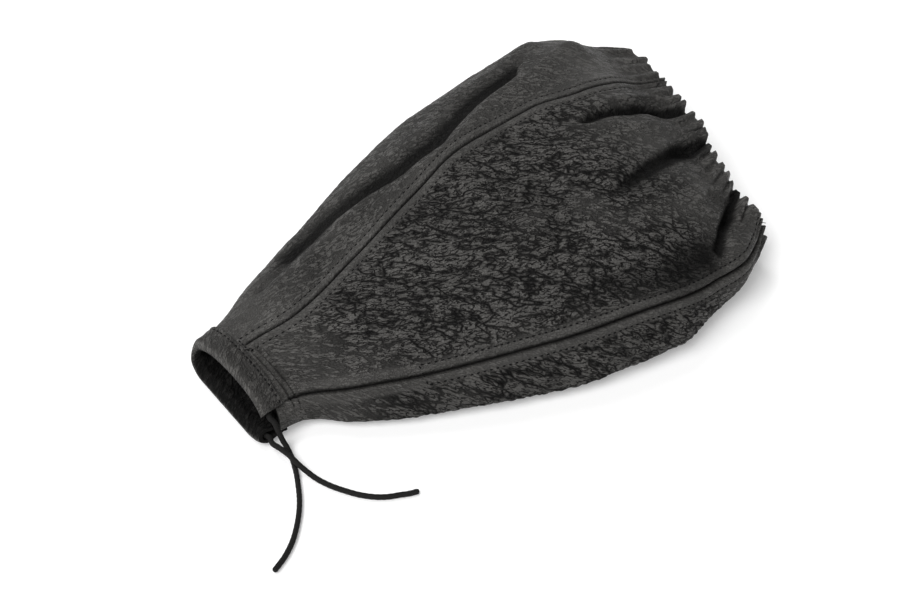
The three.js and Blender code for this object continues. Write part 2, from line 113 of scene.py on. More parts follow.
# Bands where the hide is creased hardest, and thin creases in them, both written as the folds are
CREASE_BANDS = (
    (7, 7, (0.9, 0.9), ((79, 0.12), (77, -0.06), (66, -0.25), (62, -0.36))),
    (6, 6, (0.8, 0.9), ((87, -0.14), (96, -0.39), (108, -0.56))),
    (6, 6, (0.7, 0.9), ((162, -0.07), (151, -0.2), (143, -0.32), (135, -0.42))),
    (7, 7, (0.9, 0.8), ((130, -0.46), (124, -0.58), (118, -0.76))),
    (9, 9, (0.9, 0.9), ((109, 0.26), (100, 0.12), (80, -0.02))),
    (7, 7, (0.8, 0.7), ((122, 0.18), (106, 0.02), (86, -0.13))),
    (8, 8, (0.8, 0.7), ((158, 0.14), (144, 0.08), (132, -0.2))),
    (9, 9, (0.8, 0.8), ((88, -0.62), (72, -0.67), (50, -0.76))),
    (8, 8, (0.6, 0.6), ((60, -0.3), (48, -0.42), (34, -0.5))),
)
CREASES = (
    (1, 1.4, (-0.6, -0.5), ((79, 0.12), (78, 0.02), (77, -0.06), (72, -0.15), (66, -0.25), (62, -0.36))),
    (1, 1.2, (-0.4, -0.6), ((87, -0.14), (91, -0.3), (96, -0.39), (102, -0.46), (108, -0.56))),
    (0.9, 1.2, (-0.5, -0.4), ((93, -0.22), (97, -0.33), (101, -0.48))),
    (1, 1.3, (-0.4, -0.5), ((162, -0.07), (151, -0.2), (143, -0.32), (135, -0.42))),
    (1, 1.3, (-0.6, -0.5), ((130, -0.46), (124, -0.58), (120, -0.66), (118, -0.76))),
    (1, 1.3, (-0.5, -0.4), ((109, 0.26), (100, 0.12), (88, 0.02), (80, -0.02))),
    (1, 1.3, (-0.4, -0.4), ((122, 0.18), (116, 0.08), (106, 0.02), (95, -0.08), (86, -0.13))),
    (1, 1.3, (-0.4, -0.4), ((158, 0.14), (144, 0.08), (134, -0.09), (132, -0.2))),
    (0.9, 1.1, (-0.6, -0.4), ((169, -0.19), (174, -0.34), (179, -0.49), (178, -0.63))),
    (0.9, 1.1, (-0.6, -0.4), ((202, 0.04), (205, -0.16))),
    (0.9, 1.1, (-0.6, -0.5), ((197, -0.02), (204, -0.27))),
    (0.9, 1.1, (-0.5, -0.4), ((148, -0.59), (145, -0.72))),
    (0.9, 1.1, (-0.5, -0.4), ((135, -0.72), (143, -0.83))),
    (0.9, 1.2, (-0.4, -0.4), ((130, 0.15), (124, 0.05), (116, -0.03))),
)
# Gathers of the hem: distance round it from the panel's first seam, half width, and how far each stands out
TOP_GATHERS = (
    (0, 2, 0.4), (6.3, 2.2, 0.3), (12.5, 2, 1), (17.5, 1.8, 0.9), (25, 2, 1), (33, 2.4, 0.7), (39.6, 3.6, 1),
    (46.6, 2.4, 0.8), (53.3, 2.1, 1.7), (60.6, 2, 1.3), (66.2, 1.7, 1.2), (71, 1.5, 0), (75.6, 1.8, 1.5),
    (80.6, 1.7, 1.2), (87, 3.2, 1.2), (93, 2, 0.4))
LEFT_GATHERS = (
    (0, 2, 0.5), (7, 1.8, 1), (13.5, 1.6, -0.5), (20, 2.8, 2), (29.5, 1.6, -2), (39, 2.2, 1.6),
    (46.6, 1.7, -2.5), (54.5, 1.8, -2), (61.2, 2, 0.6))
# The folds are evened out from this far back from the hem, over a length, to a share of their height
FOLD_HEM_START = 14
FOLD_HEM_LENGTH = 11
FOLD_AT_HEM = 0.5

# Where the pattern's origin lies in the model's frame
PATTERN_ORIGIN = (-15.237, -18.279, 0)

# The neck band: its folded width, how far the panels tuck into it, where the drawstring's tunnel ends, its
# mouths in half turns round the neck, the middle of the tunnel, and the place, length and depth of the
# row of stitches
BAND_WIDTH = 10
BAND_TUCK = 3.8
TUNNEL_END = 5.6
MOUTH_UPPER = 0.8
MOUTH_LOWER = 1.13
NOSE = 2.75
BAND_ROW = 8.6
BAND_ARC = 118
BAND_STITCH_SINK = 0.32
# Distances from the rim, and how far the band's puckers stand out there
BAND_PUCKERS = ((0, 2.5, 6, 8, 8.8, 9.6, 10), (0.1, 0.5, 0.8, 0.5, 0.15, 0.35, 0.2))

# The loose ends of the drawstring, once they have left the tunnel's mouths
TAIL_START = 1.6
UPPER_TAIL = (
    (-102.3, -27.3, 11.2), (-102.1, -29.7, 8.6), (-101.6, -31.9, 5.3), (-101.1, -34.9, 2.8),
    (-101.4, -39.5, 1.4), (-103.2, -46.4, 1.25), (-105.7, -53.1, 1.25), (-108.5, -59.6, 1.25),
    (-111.7, -65.4, 1.25), (-115.7, -71.2, 1.25), (-120.1, -76.5, 1.25), (-123.5, -79.7, 1.25),
    (-127.1, -82.5, 1.25), (-130.2, -84.4, 1.25), (-133.2, -86.1, 1.25),
)
LOWER_TAIL = (
    (-105.9, -31.4, 4.9), (-104.4, -35.6, 4.9), (-102.9, -40.2, 4.7), (-101.5, -45.2, 3.5),
    (-99.7, -49.6, 2.0), (-97.8, -54.2, 1.25), (-94.8, -60, 1.25), (-91.1, -65.2, 1.25), (-87, -70, 1.25),
    (-82.4, -73.9, 1.25), (-78, -76.4, 1.25), (-73.4, -78, 1.25), (-69.8, -79.3, 1.25), (-66, -80.1, 1.25),
)
# The plait's length in diameters of the cord
PLAIT_LAY = 2.2

# The elastic, and the gathers it makes on the panels that have no list of their own
ELASTIC_INSET = 8.5
ELASTIC_FACE = 3.8
ELASTIC_RIB = 0.07
GATHER_START = 26
GATHER_PITCH = 6.4
GATHER_BACK = 0.4

# The hide and its seams
HIDE = 1.1
GAP = 0.3
ALLOWANCE = 8
TOPSTITCH_FROM = (11.5, 62, 22, 22)
GAPING_SEAM = 1
# The form beside a seam: distances from it, then heights as shares of the groove's depth and of the puff's
CLOSED_FORM = ((0, 0.25, 0.55, 1.0, 1.8, 3), (-1, -0.5), (0.25, 0.9, 1, 1, 0.85, 0.6, 0.15))
GAPING_FORM = ((0, 0.5, 1.0, 1.6, 2.4, 3.2), (-1.5, -1.1, -0.2), (1, 1.4, 1, 0.6, 0.5, 0.1))
# How deep a topstitch row presses into the hide, in heights of the puff, and how wide
ROW_PRESS = 1.3
ROW_WIDTH = 0.6
# Loose thread ends: the seam they hang from, the distance from the rim, the way they lean and how far
LOOSE_THREADS = (
    (0, 11.5, (-2.2, -0.6, 0), 1.1),
    (0, 12.2, (1.0, -1.6, 0), 1.0),
    (0, 235, (3.0, 1.2, 0.6), 1.0),
    (1, 236, (2.4, -1.5, 0), 1.0),
)
# Their thickness and how far they start from the seam
LOOSE_THREAD = 0.28
LOOSE_THREAD_ASIDE = 3.0

# The relief away from the seams. Swells have a height, length and breadth, and pebbles a direction in
# degrees, a stretch and a size. Both of these and the creases bring their own height.
SWELLS = ((0.8, 31, 24), (0.5, 13, 9))
LARGE_PEBBLES = (30, 1.9, 4.2)
SMALL_PEBBLES = (24, 1.9, 2.1)
LARGE_PEBBLE_HEIGHT = 0.6
SMALL_PEBBLE_HEIGHT = 0.3
SMOOTH_PEBBLE_HEIGHT = 0.06
CREASE_HEIGHT = 1.7
# The pleats beside the neck band, by height and pitch
PLEAT_HEIGHT = 0.75
PLEAT_PITCH = 2.3
# How far a gather's top reaches beside its half width, and how steeply its sides fall
GATHER_SHOULDER = 0.9
GATHER_FALL = 1.6

# The leather's material: each pattern's direction in degrees, stretch and size in millimetres, then the
# half width and sharpness of wrinkles, and the waver and sharpness of the grain
LONG_WRINKLES = (40, 2.2, 7.0, 0.004, 22.0)
SHORT_WRINKLES = (26, 2.6, 1.7, 0.0, 19.0)
GRAIN = (15, 1.5, 0.95, 0.9, 3.6)
# The scales of the pores and of the lighter patches, the depth of relief in metres, and how much darker
# the leather is painted in its hollows, as painted shade
PORES = 2400.0
PATCHES = 34.0
WRINKLE_DEPTH = 0.0011
PAINTED_HOLLOW_SHADE = 0.92

# How finely the pieces are made, the steps that find the slope of the skin, and how far apart the panels
# lie in the map of the hide
ARC_SAMPLES = 361
INNER_EVERY = 2
SEAM_COLUMNS = (
    0, 0.25, 0.5, 0.8, 1.1, 1.5, 1.9, 2.4, 2.9, 3.4, 3.9, 4.15, 4.4, 4.65, 4.9, 5.3, 5.8, 6.3, 6.9, 7.5, 8.0)
BAND_STATIONS = 241
LOOP_STATIONS = 39
ELASTIC_STATIONS = 300
CORD_SIDES = 16
CORD_STEP = 0.45
SKIN_STEP = 0.4
SKIN_TURN = 0.004
HIDE_SPACING = 0.3

# The stage: each lamp's name, strength, spread in degrees, and the azimuth and elevation it shines from
LAMPS = (
    ("key_light", 2.6, 40, 284, 54),
    ("back_light", 1.4, 35, 182, 48),
    ("front_light", 0.6, 60, -20, 40),
)
WORLD_LIGHT = 0.08
HORIZON_LIGHT = 0.9
FLOOR_GLOW = 0.25
FLOOR_SEEN = 0.8
# The floor lies this far below the part, in metres, so that the two faces don't meet
FLOOR_DROP = 0.0001
FLOOR_SIZE = 6
CAMERA_AZIMUTH = -30.5
CAMERA_ELEVATION = 46
CAMERA_DISTANCE = 930
CAMERA_LENS = 85
CAMERA_SENSOR = 36


# Sizes and colours that a user would change

def length_prop(name, description, millimetres):
    return FloatProperty(
        name=name, description=description, default=millimetres * MM, unit="LENGTH", precision=5)


def colour_prop(name, description, colour):
    return FloatVectorProperty(
        name=name, description=description, subtype="COLOR", size=3, default=colour, min=0, max=1)


class GaiterSizes(bpy.types.PropertyGroup):
    hide: length_prop("Hide", "Thickness of the leather", HIDE)
    groove: length_prop("Seam groove", "Depth to which two edges roll in at a seam", 1.4)
    puff: length_prop("Seam puff", "Height of the doubled hide beside a seam", 0.5)
    row: length_prop("Stitch row", "Distance of a topstitch row from its seam", 4.4)
    stitch: length_prop("Stitch pitch", "Distance from one stitch to the next", 2.7)
    thread: length_prop("Thread", "Thickness of the sewing thread", 0.75)
    gather: length_prop("Gather", "Half height of a gather at the raw edge", 1.0)
    gather_sewn: length_prop("Sewn gather", "Half height of a gather at the elastic", 0.8)
    cord: length_prop("Drawstring", "Diameter of the braided drawstring", 2.3)
    play: length_prop("Tunnel play", "Play of the drawstring in the neck band", 0.5)
    elastic: length_prop("Elastic", "Width of the elastic", 6.0)
    elastic_depth: length_prop("Elastic thickness", "Thickness of the elastic", 0.9)
    plait: IntProperty(name="Plait", description="Strands of the drawstring's braid seen round it", default=4)


class GaiterColours(bpy.types.PropertyGroup):
    # The leather runs from hide, its colour in wrinkle valleys and in painted shade, up to crest on its
    # raised grain
    hide: colour_prop("Leather", "Dyed face of the leather", (0.003, 0.0029, 0.0028))
    crest: colour_prop("Worn leather", "Face of the leather on its raised grain", (0.09, 0.0872, 0.083))
    flesh: colour_prop("Flesh side", "Rough inner side of the leather", (0.006, 0.0058, 0.0056))
    thread: colour_prop("Thread", "Sewing thread", (0.0025, 0.0025, 0.0027))
    cord: colour_prop("Drawstring", "Braided drawstring", (0.006, 0.0058, 0.0056))
    elastic: colour_prop("Elastic", "Woven elastic", (0.02, 0.02, 0.021))
    floor: colour_prop("Floor", "White floor", (0.95, 0.95, 0.95))


# The shape of the bag

def smooth(x):
    x = np.clip(x, 0, 1)
    return x * x * (3 - 2 * x)


def through(xs, ys):
    """A curve through stations that never overshoots them."""
    xs, ys = np.asarray(xs, float), np.asarray(ys, float)
    step = np.diff(xs)
    slope = np.diff(ys) / step
    tangent = np.zeros(len(xs))
    tangent[0], tangent[-1] = slope[0], slope[-1]
    for i in range(1, len(xs) - 1):
        if slope[i - 1] * slope[i] > 0:
            before, after = 2 * step[i] + step[i - 1], step[i] + 2 * step[i - 1]
            tangent[i] = (before + after) / (before / slope[i - 1] + after / slope[i])

    def value(x):
        i = np.clip(np.searchsorted(xs, x, side="right") - 1, 0, len(step) - 1)
        t = (x - xs[i]) / step[i]
        rise = ys[i] * (2 * t**3 - 3 * t**2 + 1) + ys[i + 1] * (3 * t**2 - 2 * t**3)
        return rise + step[i] * (tangent[i] * (t**3 - 2 * t**2 + t) + tangent[i + 1] * (t**3 - t**2))

    return value


STATIONS = np.cumsum([rib[0] for rib in RIBS])
HEM = float(STATIONS[-1])
NECK_X = (HEM_FURTHER - HEM) / 2
REACH_LEFT, REACH_RIGHT, CROWN, EDGE_LEFT, EDGE_RIGHT, LIFT = (
    through(STATIONS, [rib[column] for rib in RIBS]) for column in range(1, 7))
SEAM_LINES = [through(STATIONS, [rib[7][k] for rib in RIBS]) for k in range(4)]


def across(angle):
    """The share of the half width at an angle round the section: 1 at the left edge, -1 at the right."""
    cos = np.cos(angle)
    power = 2 / np.where(np.sin(angle) >= 0, TOP_ROUND, UNDER_ROUND)
    return np.sign(cos) * np.abs(cos) ** power


def skin(s, angle):
    """The smooth outer skin: s runs from the neck rim to the hem, the angle from the left over the top."""
    s, angle = np.broadcast_arrays(np.asarray(s, float), np.asarray(angle, float))
    left, right = REACH_LEFT(s), REACH_RIGHT(s)
    half = (left + right) / 2
    sin = np.sin(angle)
    over = sin >= 0
    share = across(angle)
    swell = np.abs(sin) ** (2 / np.where(over, TOP_ROUND, UNDER_ROUND))
    crown = CROWN(s)
    low, high = EDGE_RIGHT(s), EDGE_LEFT(s)
    edge = low + (high - low) * (share + 1) / 2
    ground = np.maximum(LIFT(s), 0)
    z = np.where(
        over, edge + (crown - edge) * swell, np.maximum(ground, edge - (edge - ground) * UNDER_PRESS * swell))
    lip = NECK_LIP * np.clip(1 - s / NECK_LIP_FADE, 0, 1) ** 2 * np.clip(1 - z / crown, 0, 1)
    slant = NECK_SLANT * np.clip(1 - s / NECK_SLANT_FADE, 0, 1) * half * share
    places, reach = zip(*HEM_REACH)
    near_hem = np.clip(1 - (HEM - s) / HEM_REACH_FADE, 0, 1) ** 1.3
    x = NECK_X + s + slant - lip + near_hem * np.interp(share, places, reach)
    return np.stack([x, (left - right) / 2 + half * share, z], axis=-1)


def unit(vectors):
    return vectors / np.maximum(np.linalg.norm(vectors, axis=-1, keepdims=True), 1e-9)


def outward(s, angle):
    along = skin(s + SKIN_STEP, angle) - skin(s - SKIN_STEP, angle)
    around = skin(s, angle + SKIN_TURN) - skin(s, angle - SKIN_TURN)
    return unit(np.cross(around, along))


def seam_angle(seam, s):
    """The angle at which a seam lies at s. Seams 0 and 1 lie on top, 2 and 3 underneath."""
    share = np.clip(SEAM_LINES[seam](s), -0.98, 0.98)
    power = (TOP_ROUND if seam < 2 else UNDER_ROUND) / 2
    on_top = np.arccos(np.sign(share) * np.abs(share) ** power)
    return on_top if seam < 2 else 2 * math.pi - on_top


def arc_tables(s, start, end):
    """Angles and arc lengths along the section at each s, between two angles."""
    share = np.linspace(0, 1, ARC_SAMPLES)
    angles = start[:, None] + (end - start)[:, None] * share
    steps = np.linalg.norm(np.diff(skin(s[:, None], angles), axis=1), axis=2)
    lengths = np.concatenate([np.zeros((len(s), 1)), np.cumsum(steps, axis=1)], axis=1)
    return angles, lengths


def angle_at(tables, lengths):
    """The angles at which lengths, a row of them for each s, lie along the arcs."""
    angles, arcs = tables
    return np.stack([np.interp(row, arcs[i], angles[i]) for i, row in enumerate(lengths)])


def fold_height(s, angle, folds=FOLDS):
    """Height of the folds at a place, fading where the underside lies on the ground and at the hem."""
    half = (REACH_LEFT(s) + REACH_RIGHT(s)) / 2
    place = across(angle) * half
    upper = smooth((np.sin(angle) + 0.15) / 0.25)
    evened = smooth((s - (HEM - FOLD_HEM_START)) / FOLD_HEM_LENGTH)
    total = np.zeros(np.broadcast(s, angle).shape)
    for left, right, rise, path in folds:
        best = np.full(total.shape, np.inf)
        level = np.zeros(total.shape)
        side = np.zeros(total.shape)
        for i in range(1, len(path)):
            s0, s1 = HEM - path[i - 1][0], HEM - path[i][0]
            y0, y1 = path[i - 1][1] * half, path[i][1] * half
            ds, dy = s1 - s0, y1 - y0
            run = ds**2 + dy**2
            t = np.clip(((s - s0) * ds + (place - y0) * dy) / run, 0, 1)
            away = np.hypot(s - s0 - t * ds, place - y0 - t * dy)
            cross = ((place - y0) * ds - (s - s0) * dy) / np.sqrt(run)
            nearer = away < best
            level = np.where(nearer, rise[0] + (rise[1] - rise[0]) * (i - 1 + t) / (len(path) - 1), level)
            side = np.where(nearer, cross, side)
            best = np.where(nearer, away, best)
        width = right + (left - right) * smooth(side / 1.2 + 0.5)
        total = total + level * np.exp(-(best / width) ** 2)
    return total * upper * (1 - (1 - FOLD_AT_HEM) * evened)


# Patterns of the hide, worked out from fixed lattices so that each run is the same

def scatter(i, j, seed):
    """A fixed number from 0 to 1 for each place of a lattice."""
    i, j = i.astype(np.int64), j.astype(np.int64)
    n = (i * 374761393 + j * 668265263 + seed * 974634777) & 0xFFFFFFFF
    n = ((n ^ (n >> 13)) * 1274126177) & 0xFFFFFFFF
    return ((n ^ (n >> 16)) & 0xFFFF) / 65535


def rolling(x, y, seed):
    """Soft hills and hollows one unit apart, from -1 to 1."""
    i, j = np.floor(x), np.floor(y)
    u, v = smooth(x - i), smooth(y - j)
    low = scatter(i, j, seed) * (1 - u) + scatter(i + 1, j, seed) * u
    high = scatter(i, j + 1, seed) * (1 - u) + scatter(i + 1, j + 1, seed) * u
    return 2 * (low * (1 - v) + high * v) - 1


def pebbles(x, y, seed):
    """Rounded cells one unit apart, 0 on the creases between them and about 1 in the middle."""
    i, j = np.floor(x), np.floor(y)
    first = np.full(x.shape, 9.0)
    second = np.full(x.shape, 9.0)
    for di in (-1, 0, 1):
        for dj in (-1, 0, 1):
            a = i + di + 0.15 + 0.7 * scatter(i + di, j + dj, seed)
            b = j + dj + 0.15 + 0.7 * scatter(i + di, j + dj, seed + 1)
            away = np.hypot(x - a, y - b)
            second = np.where(away < first, first, np.minimum(second, away))
            first = np.minimum(first, away)
    return np.clip((second - first) * 1.6, 0, 1)


def turned(x, y, degrees, stretch, size):
    """Hide coordinates turned by an angle, drawn out along it and divided into cells of a size."""
    a = math.radians(degrees)
    along = (x * math.cos(a) + y * math.sin(a)) / (size * stretch)
    over = (-x * math.sin(a) + y * math.cos(a)) / size
    return along, over


def seam_form(away, sizes, near, dips, swells):
    """Height of the hide beside a seam, from distances near it and shares of the groove and of the puff."""
    row = sizes.row / MM
    places = [*near, row, row + 1.4, ALLOWANCE, ALLOWANCE + 1.5]
    heights = [share * sizes.groove / MM for share in dips] + [share * sizes.puff / MM for share in swells]
    return np.interp(away, places, [*heights, 0])


class Panel:
    """One panel of the bag, from its first seam to its last round the section."""

    def __init__(self, node, first, last, columns, rows, wrinkle, gathers=None):
        self.node = node
        self.first = first
        self.last = last
        self.turn = 2 * math.pi if first > last else 0.0
        self.columns = columns
        self.rows = rows
        self.wrinkle = wrinkle
        self.hem = float(self.widths(np.array([HEM]))[0, 0])
        self.crests = gathers or self.even_gathers()

    def even_gathers(self):
        """Gathers at a steady pitch, a little uneven as elastic draws them up."""
        count = max(2, round(self.hem / GATHER_PITCH))
        number = np.arange(1, count)
        place = number + 0.5 * scatter(number, number * 0, 5 + self.first) - 0.25
        width = 1.4 + 0.7 * scatter(number, number * 0 + 1, 5 + self.first)
        reach = 1.5 * scatter(number, number * 0 + 2, 5 + self.first)
        ends = [(0, 2.0, 0.6), (self.hem, 2.0, 0.6)]
        return [*zip(place * self.hem / count, width, reach), *ends]

    def tables(self, s):
        return arc_tables(s, seam_angle(self.first, s), seam_angle(self.last, s) + self.turn)

    def widths(self, s):
        """The panel's width from seam to seam at each s."""
        return self.tables(s)[1][:, -1:]

    def relief(self, s, length, total, angle, sizes, fine=True):
        """Height of the finished face over the smooth skin, in millimetres."""
        away = np.minimum(length, total - length)
        x, y = s, length - total / 2
        seed = 11 + 7 * self.first
        puff, row = sizes.puff / MM, sizes.row / MM
        near_first = length < total / 2
        form = np.where(
            np.where(near_first, self.first, self.last) == GAPING_SEAM,
            seam_form(away, sizes, *GAPING_FORM), seam_form(away, sizes, *CLOSED_FORM))
        seam_start = np.where(near_first, TOPSTITCH_FROM[self.first], TOPSTITCH_FROM[self.last])
        sewn = smooth((s - seam_start) / 2)
        form = form - ROW_PRESS * puff * sewn * np.exp(-((away - row) / ROW_WIDTH) ** 2)
        # The seams and the neck band keep their own form, and the hide rolls freely between them
        calm = smooth((away - 3) / 9) * smooth((s - 12) / 14)
        height = form * smooth((s - BAND_WIDTH - 0.3) / 7)
        height += fold_height(s, angle)
        height += self.gathers(s, length, total, sizes) * smooth(away / 1.6)
        height += calm * sum(
            rise * rolling(x / long, y / broad, seed + k) for k, (rise, long, broad) in enumerate(SWELLS))
        height += self.pleats(s, angle)
        if fine:
            creased = self.creased(x, y, away, angle)
            uneven = 0.7 + 0.5 * rolling(x / 4, y / 4, seed + 9)
            height += CREASE_HEIGHT * calm * fold_height(s, angle, CREASES) * uneven
            bend = 1.6 * rolling(x / 14, y / 14, seed + 2)
            large = pebbles(*turned(x + bend, y - bend, *LARGE_PEBBLES), seed + 3)
            small = pebbles(*turned(x - bend, y + bend, *SMALL_PEBBLES), seed + 5)
            height += LARGE_PEBBLE_HEIGHT * creased * (large - 0.6)
            height += (SMOOTH_PEBBLE_HEIGHT * calm + SMALL_PEBBLE_HEIGHT * creased) * (small - 0.6)
        return height

    def creased(self, x, y, away, angle):
        """How strongly the hide is creased at a place, from 0 to 1."""
        middle = smooth((x - 26) / 30) * (1 - smooth((x - 180) / 30))
        patch = np.clip(0.75 + 0.4 * rolling(x / 24, y / 18, 41 + self.first), 0.35, 1)
        bands = fold_height(x, angle, CREASE_BANDS)
        spread = self.wrinkle * patch * (0.3 + 0.7 * middle)
        return np.clip(spread + 0.7 * bands, 0, 1) * smooth((away - 4.3) / 2.4) * smooth((x - 11) / 8)

    def pleats(self, s, angle):
        """Small pleats along the neck band, where the top of the bag is drawn into it."""
        share = across(angle)
        upper = (np.sin(angle) > 0) * smooth((0.25 - share) / 0.3) * smooth((share + 0.97) / 0.08)
        within = smooth((s - BAND_WIDTH - 0.4) / 1.2) * (1 - smooth((s - 15) / 4))
        return PLEAT_HEIGHT * upper * within * np.cos(2 * math.pi * (s + 1.2 * share) / PLEAT_PITCH)

    def gathers(self, s, length, total, sizes):
        """Height of the gathers: rounded crests that the elastic draws up, and hollows between."""
        place = length / total * self.hem
        crest = np.zeros(np.broadcast(s, length).shape)
        for centre, half, _ in self.crests:
            away = np.abs(place - centre)
            crest = np.maximum(crest, 1 - smooth((away - half + GATHER_SHOULDER) / GATHER_FALL))
        to_hem = HEM - s
        sewn, raw = sizes.gather_sewn / MM, sizes.gather / MM
        size = np.interp(
            to_hem, [0, 4, ELASTIC_INSET, 12, 16, 21], [raw, 0.95 * raw, sewn, 0.4 * sewn, 0.12 * sewn, 0])
        return size * (2 * crest - 1) + 0.7 * smooth(1 - to_hem / ELASTIC_INSET)

    def ruffle(self, s, length, total):
        """How far the raw edge reaches out or falls back along the panel, in millimetres."""
        place = length / total * self.hem
        wave = 0.5 * rolling(place / 2.4, 0.5, 95 + self.first) - GATHER_BACK
        share = np.clip(0.6 + 0.6 * rolling(place / 8, 0.5, 96 + self.first), 0.15, 1.2)
        for centre, half, reach in self.crests:
            tip = np.sqrt(np.clip(1 - ((place - centre) / (half + 0.4)) ** 2, 0, 1))
            wave = wave + (reach + GATHER_BACK) * tip * share
        return wave * smooth(1 - (HEM - s) / 14) * smooth(np.minimum(length, total - length) / 3)

    def face(self, s, length, sizes, fine=True):
        """Points and skin normals of the finished face for rows of arc lengths at each s, and its widths."""
        tables = self.tables(s)
        total = tables[1][:, -1:]
        length = np.clip(length, 0, total)
        angle = angle_at(tables, length)
        rows = np.broadcast_to(s[:, None], angle.shape)
        normal = outward(rows, angle)
        along = unit(skin(rows + SKIN_STEP, angle) - skin(rows - SKIN_STEP, angle))
        point = skin(rows, angle) + normal * self.relief(rows, length, total, angle, sizes, fine)[..., None]
        point += along * self.ruffle(rows, length, total)[..., None]
        point[..., 2] = np.maximum(point[..., 2], 0)
        return point, normal, total


PANELS = (
    Panel("panel_top", 0, 1, 197, 365, 0.9, TOP_GATHERS),
    Panel("panel_right", 1, 2, 131, 301, 1.3),
    Panel("panel_bottom", 2, 3, 149, 241, 0.5),
    Panel("panel_left", 3, 0, 149, 331, 0.35, LEFT_GATHERS),
)


def placed(points):
    """Pattern points in millimetres as model points in metres."""
    return (np.asarray(points) + PATTERN_ORIGIN) * MM


# Making and finishing objects

def clear_selection():
    bpy.ops.object.select_all(action="DESELECT")


def activate(piece):
    clear_selection()
    piece.select_set(True)
    bpy.context.view_layer.objects.active = piece


def new_object(name, points, faces, materials, face_material=None, uv=None, attributes=None):
    """A smooth-shaded object from points in metres and faces, with a material for each face."""
    mesh = bpy.data.meshes.new(name)
    mesh.from_pydata(points, [], [tuple(map(int, face)) for face in faces])
    piece = bpy.data.objects.new(name, mesh)
    bpy.context.scene.collection.objects.link(piece)
    for material in materials:
        mesh.materials.append(material)
    if face_material is not None:
        mesh.polygons.foreach_set("material_index", np.asarray(face_material, np.int32))
    if uv is not None:
        layer = mesh.uv_layers.new(name="Hide")
        corners = np.empty(len(mesh.loops), np.int32)
        mesh.loops.foreach_get("vertex_index", corners)
        layer.data.foreach_set("uv", np.asarray(uv, np.float32)[corners].ravel())
    for key, values in (attributes or {}).items():
        mesh.attributes.new(key, "FLOAT", "POINT").data.foreach_set("value", np.asarray(values, np.float32))
    mesh.update()
    activate(piece)
    bpy.ops.object.shade_smooth_by_angle(angle=math.radians(55))
    clear_selection()
    return piece


def grid_faces(rows, columns, start=0, tube=False, ring=False):
    """Four-sided faces of a grid of points, row by row, closed across as a tube and along as a ring."""
    bands = np.arange(rows if ring else rows - 1)
    strips = np.arange(columns if tube else columns - 1)
    r, c = np.meshgrid(bands, strips, indexing="ij")
    below, right = (r + 1) % rows * columns, (c + 1) % columns
    quads = np.stack([r * columns + c, r * columns + right, below + right, below + c], axis=-1)
    return quads.reshape(-1, 4) + start


def finish_piece(piece, slot, *nodes):
    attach(piece, BODY)
    if nodes:
        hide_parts(*nodes)


# Materials

class Graph:
    """The nodes of a material or a world, with short ways to add and join them."""

    def __init__(self, owner):
        owner.use_nodes = True
        self.nodes = owner.node_tree.nodes
        self.links = owner.node_tree.links

    def join(self, value, socket):
        """Feed a socket from a node's output, or give it a fixed value."""
        if isinstance(value, bpy.types.NodeSocket):
            self.links.new(value, socket)
        else:
            socket.default_value = value

    def add(self, kind, output, settings=None, **inputs):
        """The named output of a new node, whose settings and inputs are named too."""
        node = self.nodes.new("ShaderNode" + kind)
        for name, value in (settings or {}).items():
            setattr(node, name, value)
        for name, value in inputs.items():
            self.join(value, node.inputs[name.replace("_", " ")])
        return node.outputs[output]

    def feed(self, kind, *values, **settings):
        """The first output of a new node whose inputs are given in order."""
        node = self.nodes.new("ShaderNode" + kind)
        for name, value in settings.items():
            setattr(node, name, value)
        for value, socket in zip(values, node.inputs):
            self.join(value, socket)
        return node.outputs[0]

    def maths(self, operation, *values, clamp=False):
        return self.feed("Math", *values, operation=operation, use_clamp=clamp)

    def noise(self, vector, scale, detail, **inputs):
        return self.add("TexNoise", "Fac", Vector=vector, Scale=scale, Detail=detail, **inputs)

    def stretched(self, vector, degrees, stretch):
        """A map turned by an angle, and drawn out along it."""
        return self.add(
            "Mapping", "Vector", {"vector_type": "TEXTURE"}, Vector=vector,
            Rotation=(0, 0, math.radians(degrees)), Scale=(stretch, 1.0, 1.0))

    def cells(self, vector, degrees, stretch, size, waver, sharpness):
        """Raised cells of a size in millimetres with narrow valleys between them, from 0 in a valley to 1."""
        vector = self.stretched(vector, degrees, stretch)
        drift = self.add("TexNoise", "Color", Vector=vector, Scale=0.45 / (size * MM), Detail=2.0)
        reach = waver * size * MM
        shifted = self.feed("VectorMath", drift, (reach, reach, 0.0), vector, operation="MULTIPLY_ADD")
        edge = self.add(
            "TexVoronoi", "Distance", {"feature": "DISTANCE_TO_EDGE"}, Vector=shifted, Scale=1 / (size * MM))
        return self.maths("POWER", self.maths("MULTIPLY", edge, sharpness, clamp=True), 0.7)

    def ripples(self, vector, degrees, stretch, size, width, sharpness):
        """Flat ground with thin wavy valleys a size in millimetres apart, from 0 in a valley to 1."""
        noise = self.noise(self.stretched(vector, degrees, stretch), 1 / (size * MM), 2.0, Roughness=0.6)
        level = self.maths("ABSOLUTE", self.maths("SUBTRACT", noise, 0.5))
        return self.maths("MULTIPLY", self.maths("SUBTRACT", level, width), sharpness, clamp=True)

    def colour(self, shader, factor, dark, light):
        """Colour a shader from a dark colour at 0 to a light one at 1."""
        mixed = self.add("Mix", "Result", {"data_type": "RGBA"}, Factor=factor, A=(*dark, 1), B=(*light, 1))
        self.join(mixed, shader["Base Color"])

    def bump(self, shader, height, strength, distance):
        raised = self.add("Bump", "Normal", Height=height, Strength=strength, Distance=distance)
        self.join(raised, shader["Normal"])


def new_material(name, roughness, specular):
    material = bpy.data.materials.new(name)
    graph = Graph(material)
    shader = graph.nodes["Principled BSDF"].inputs
    shader["Roughness"].default_value = roughness
    shader["Specular IOR Level"].default_value = specular
    return material, graph, shader


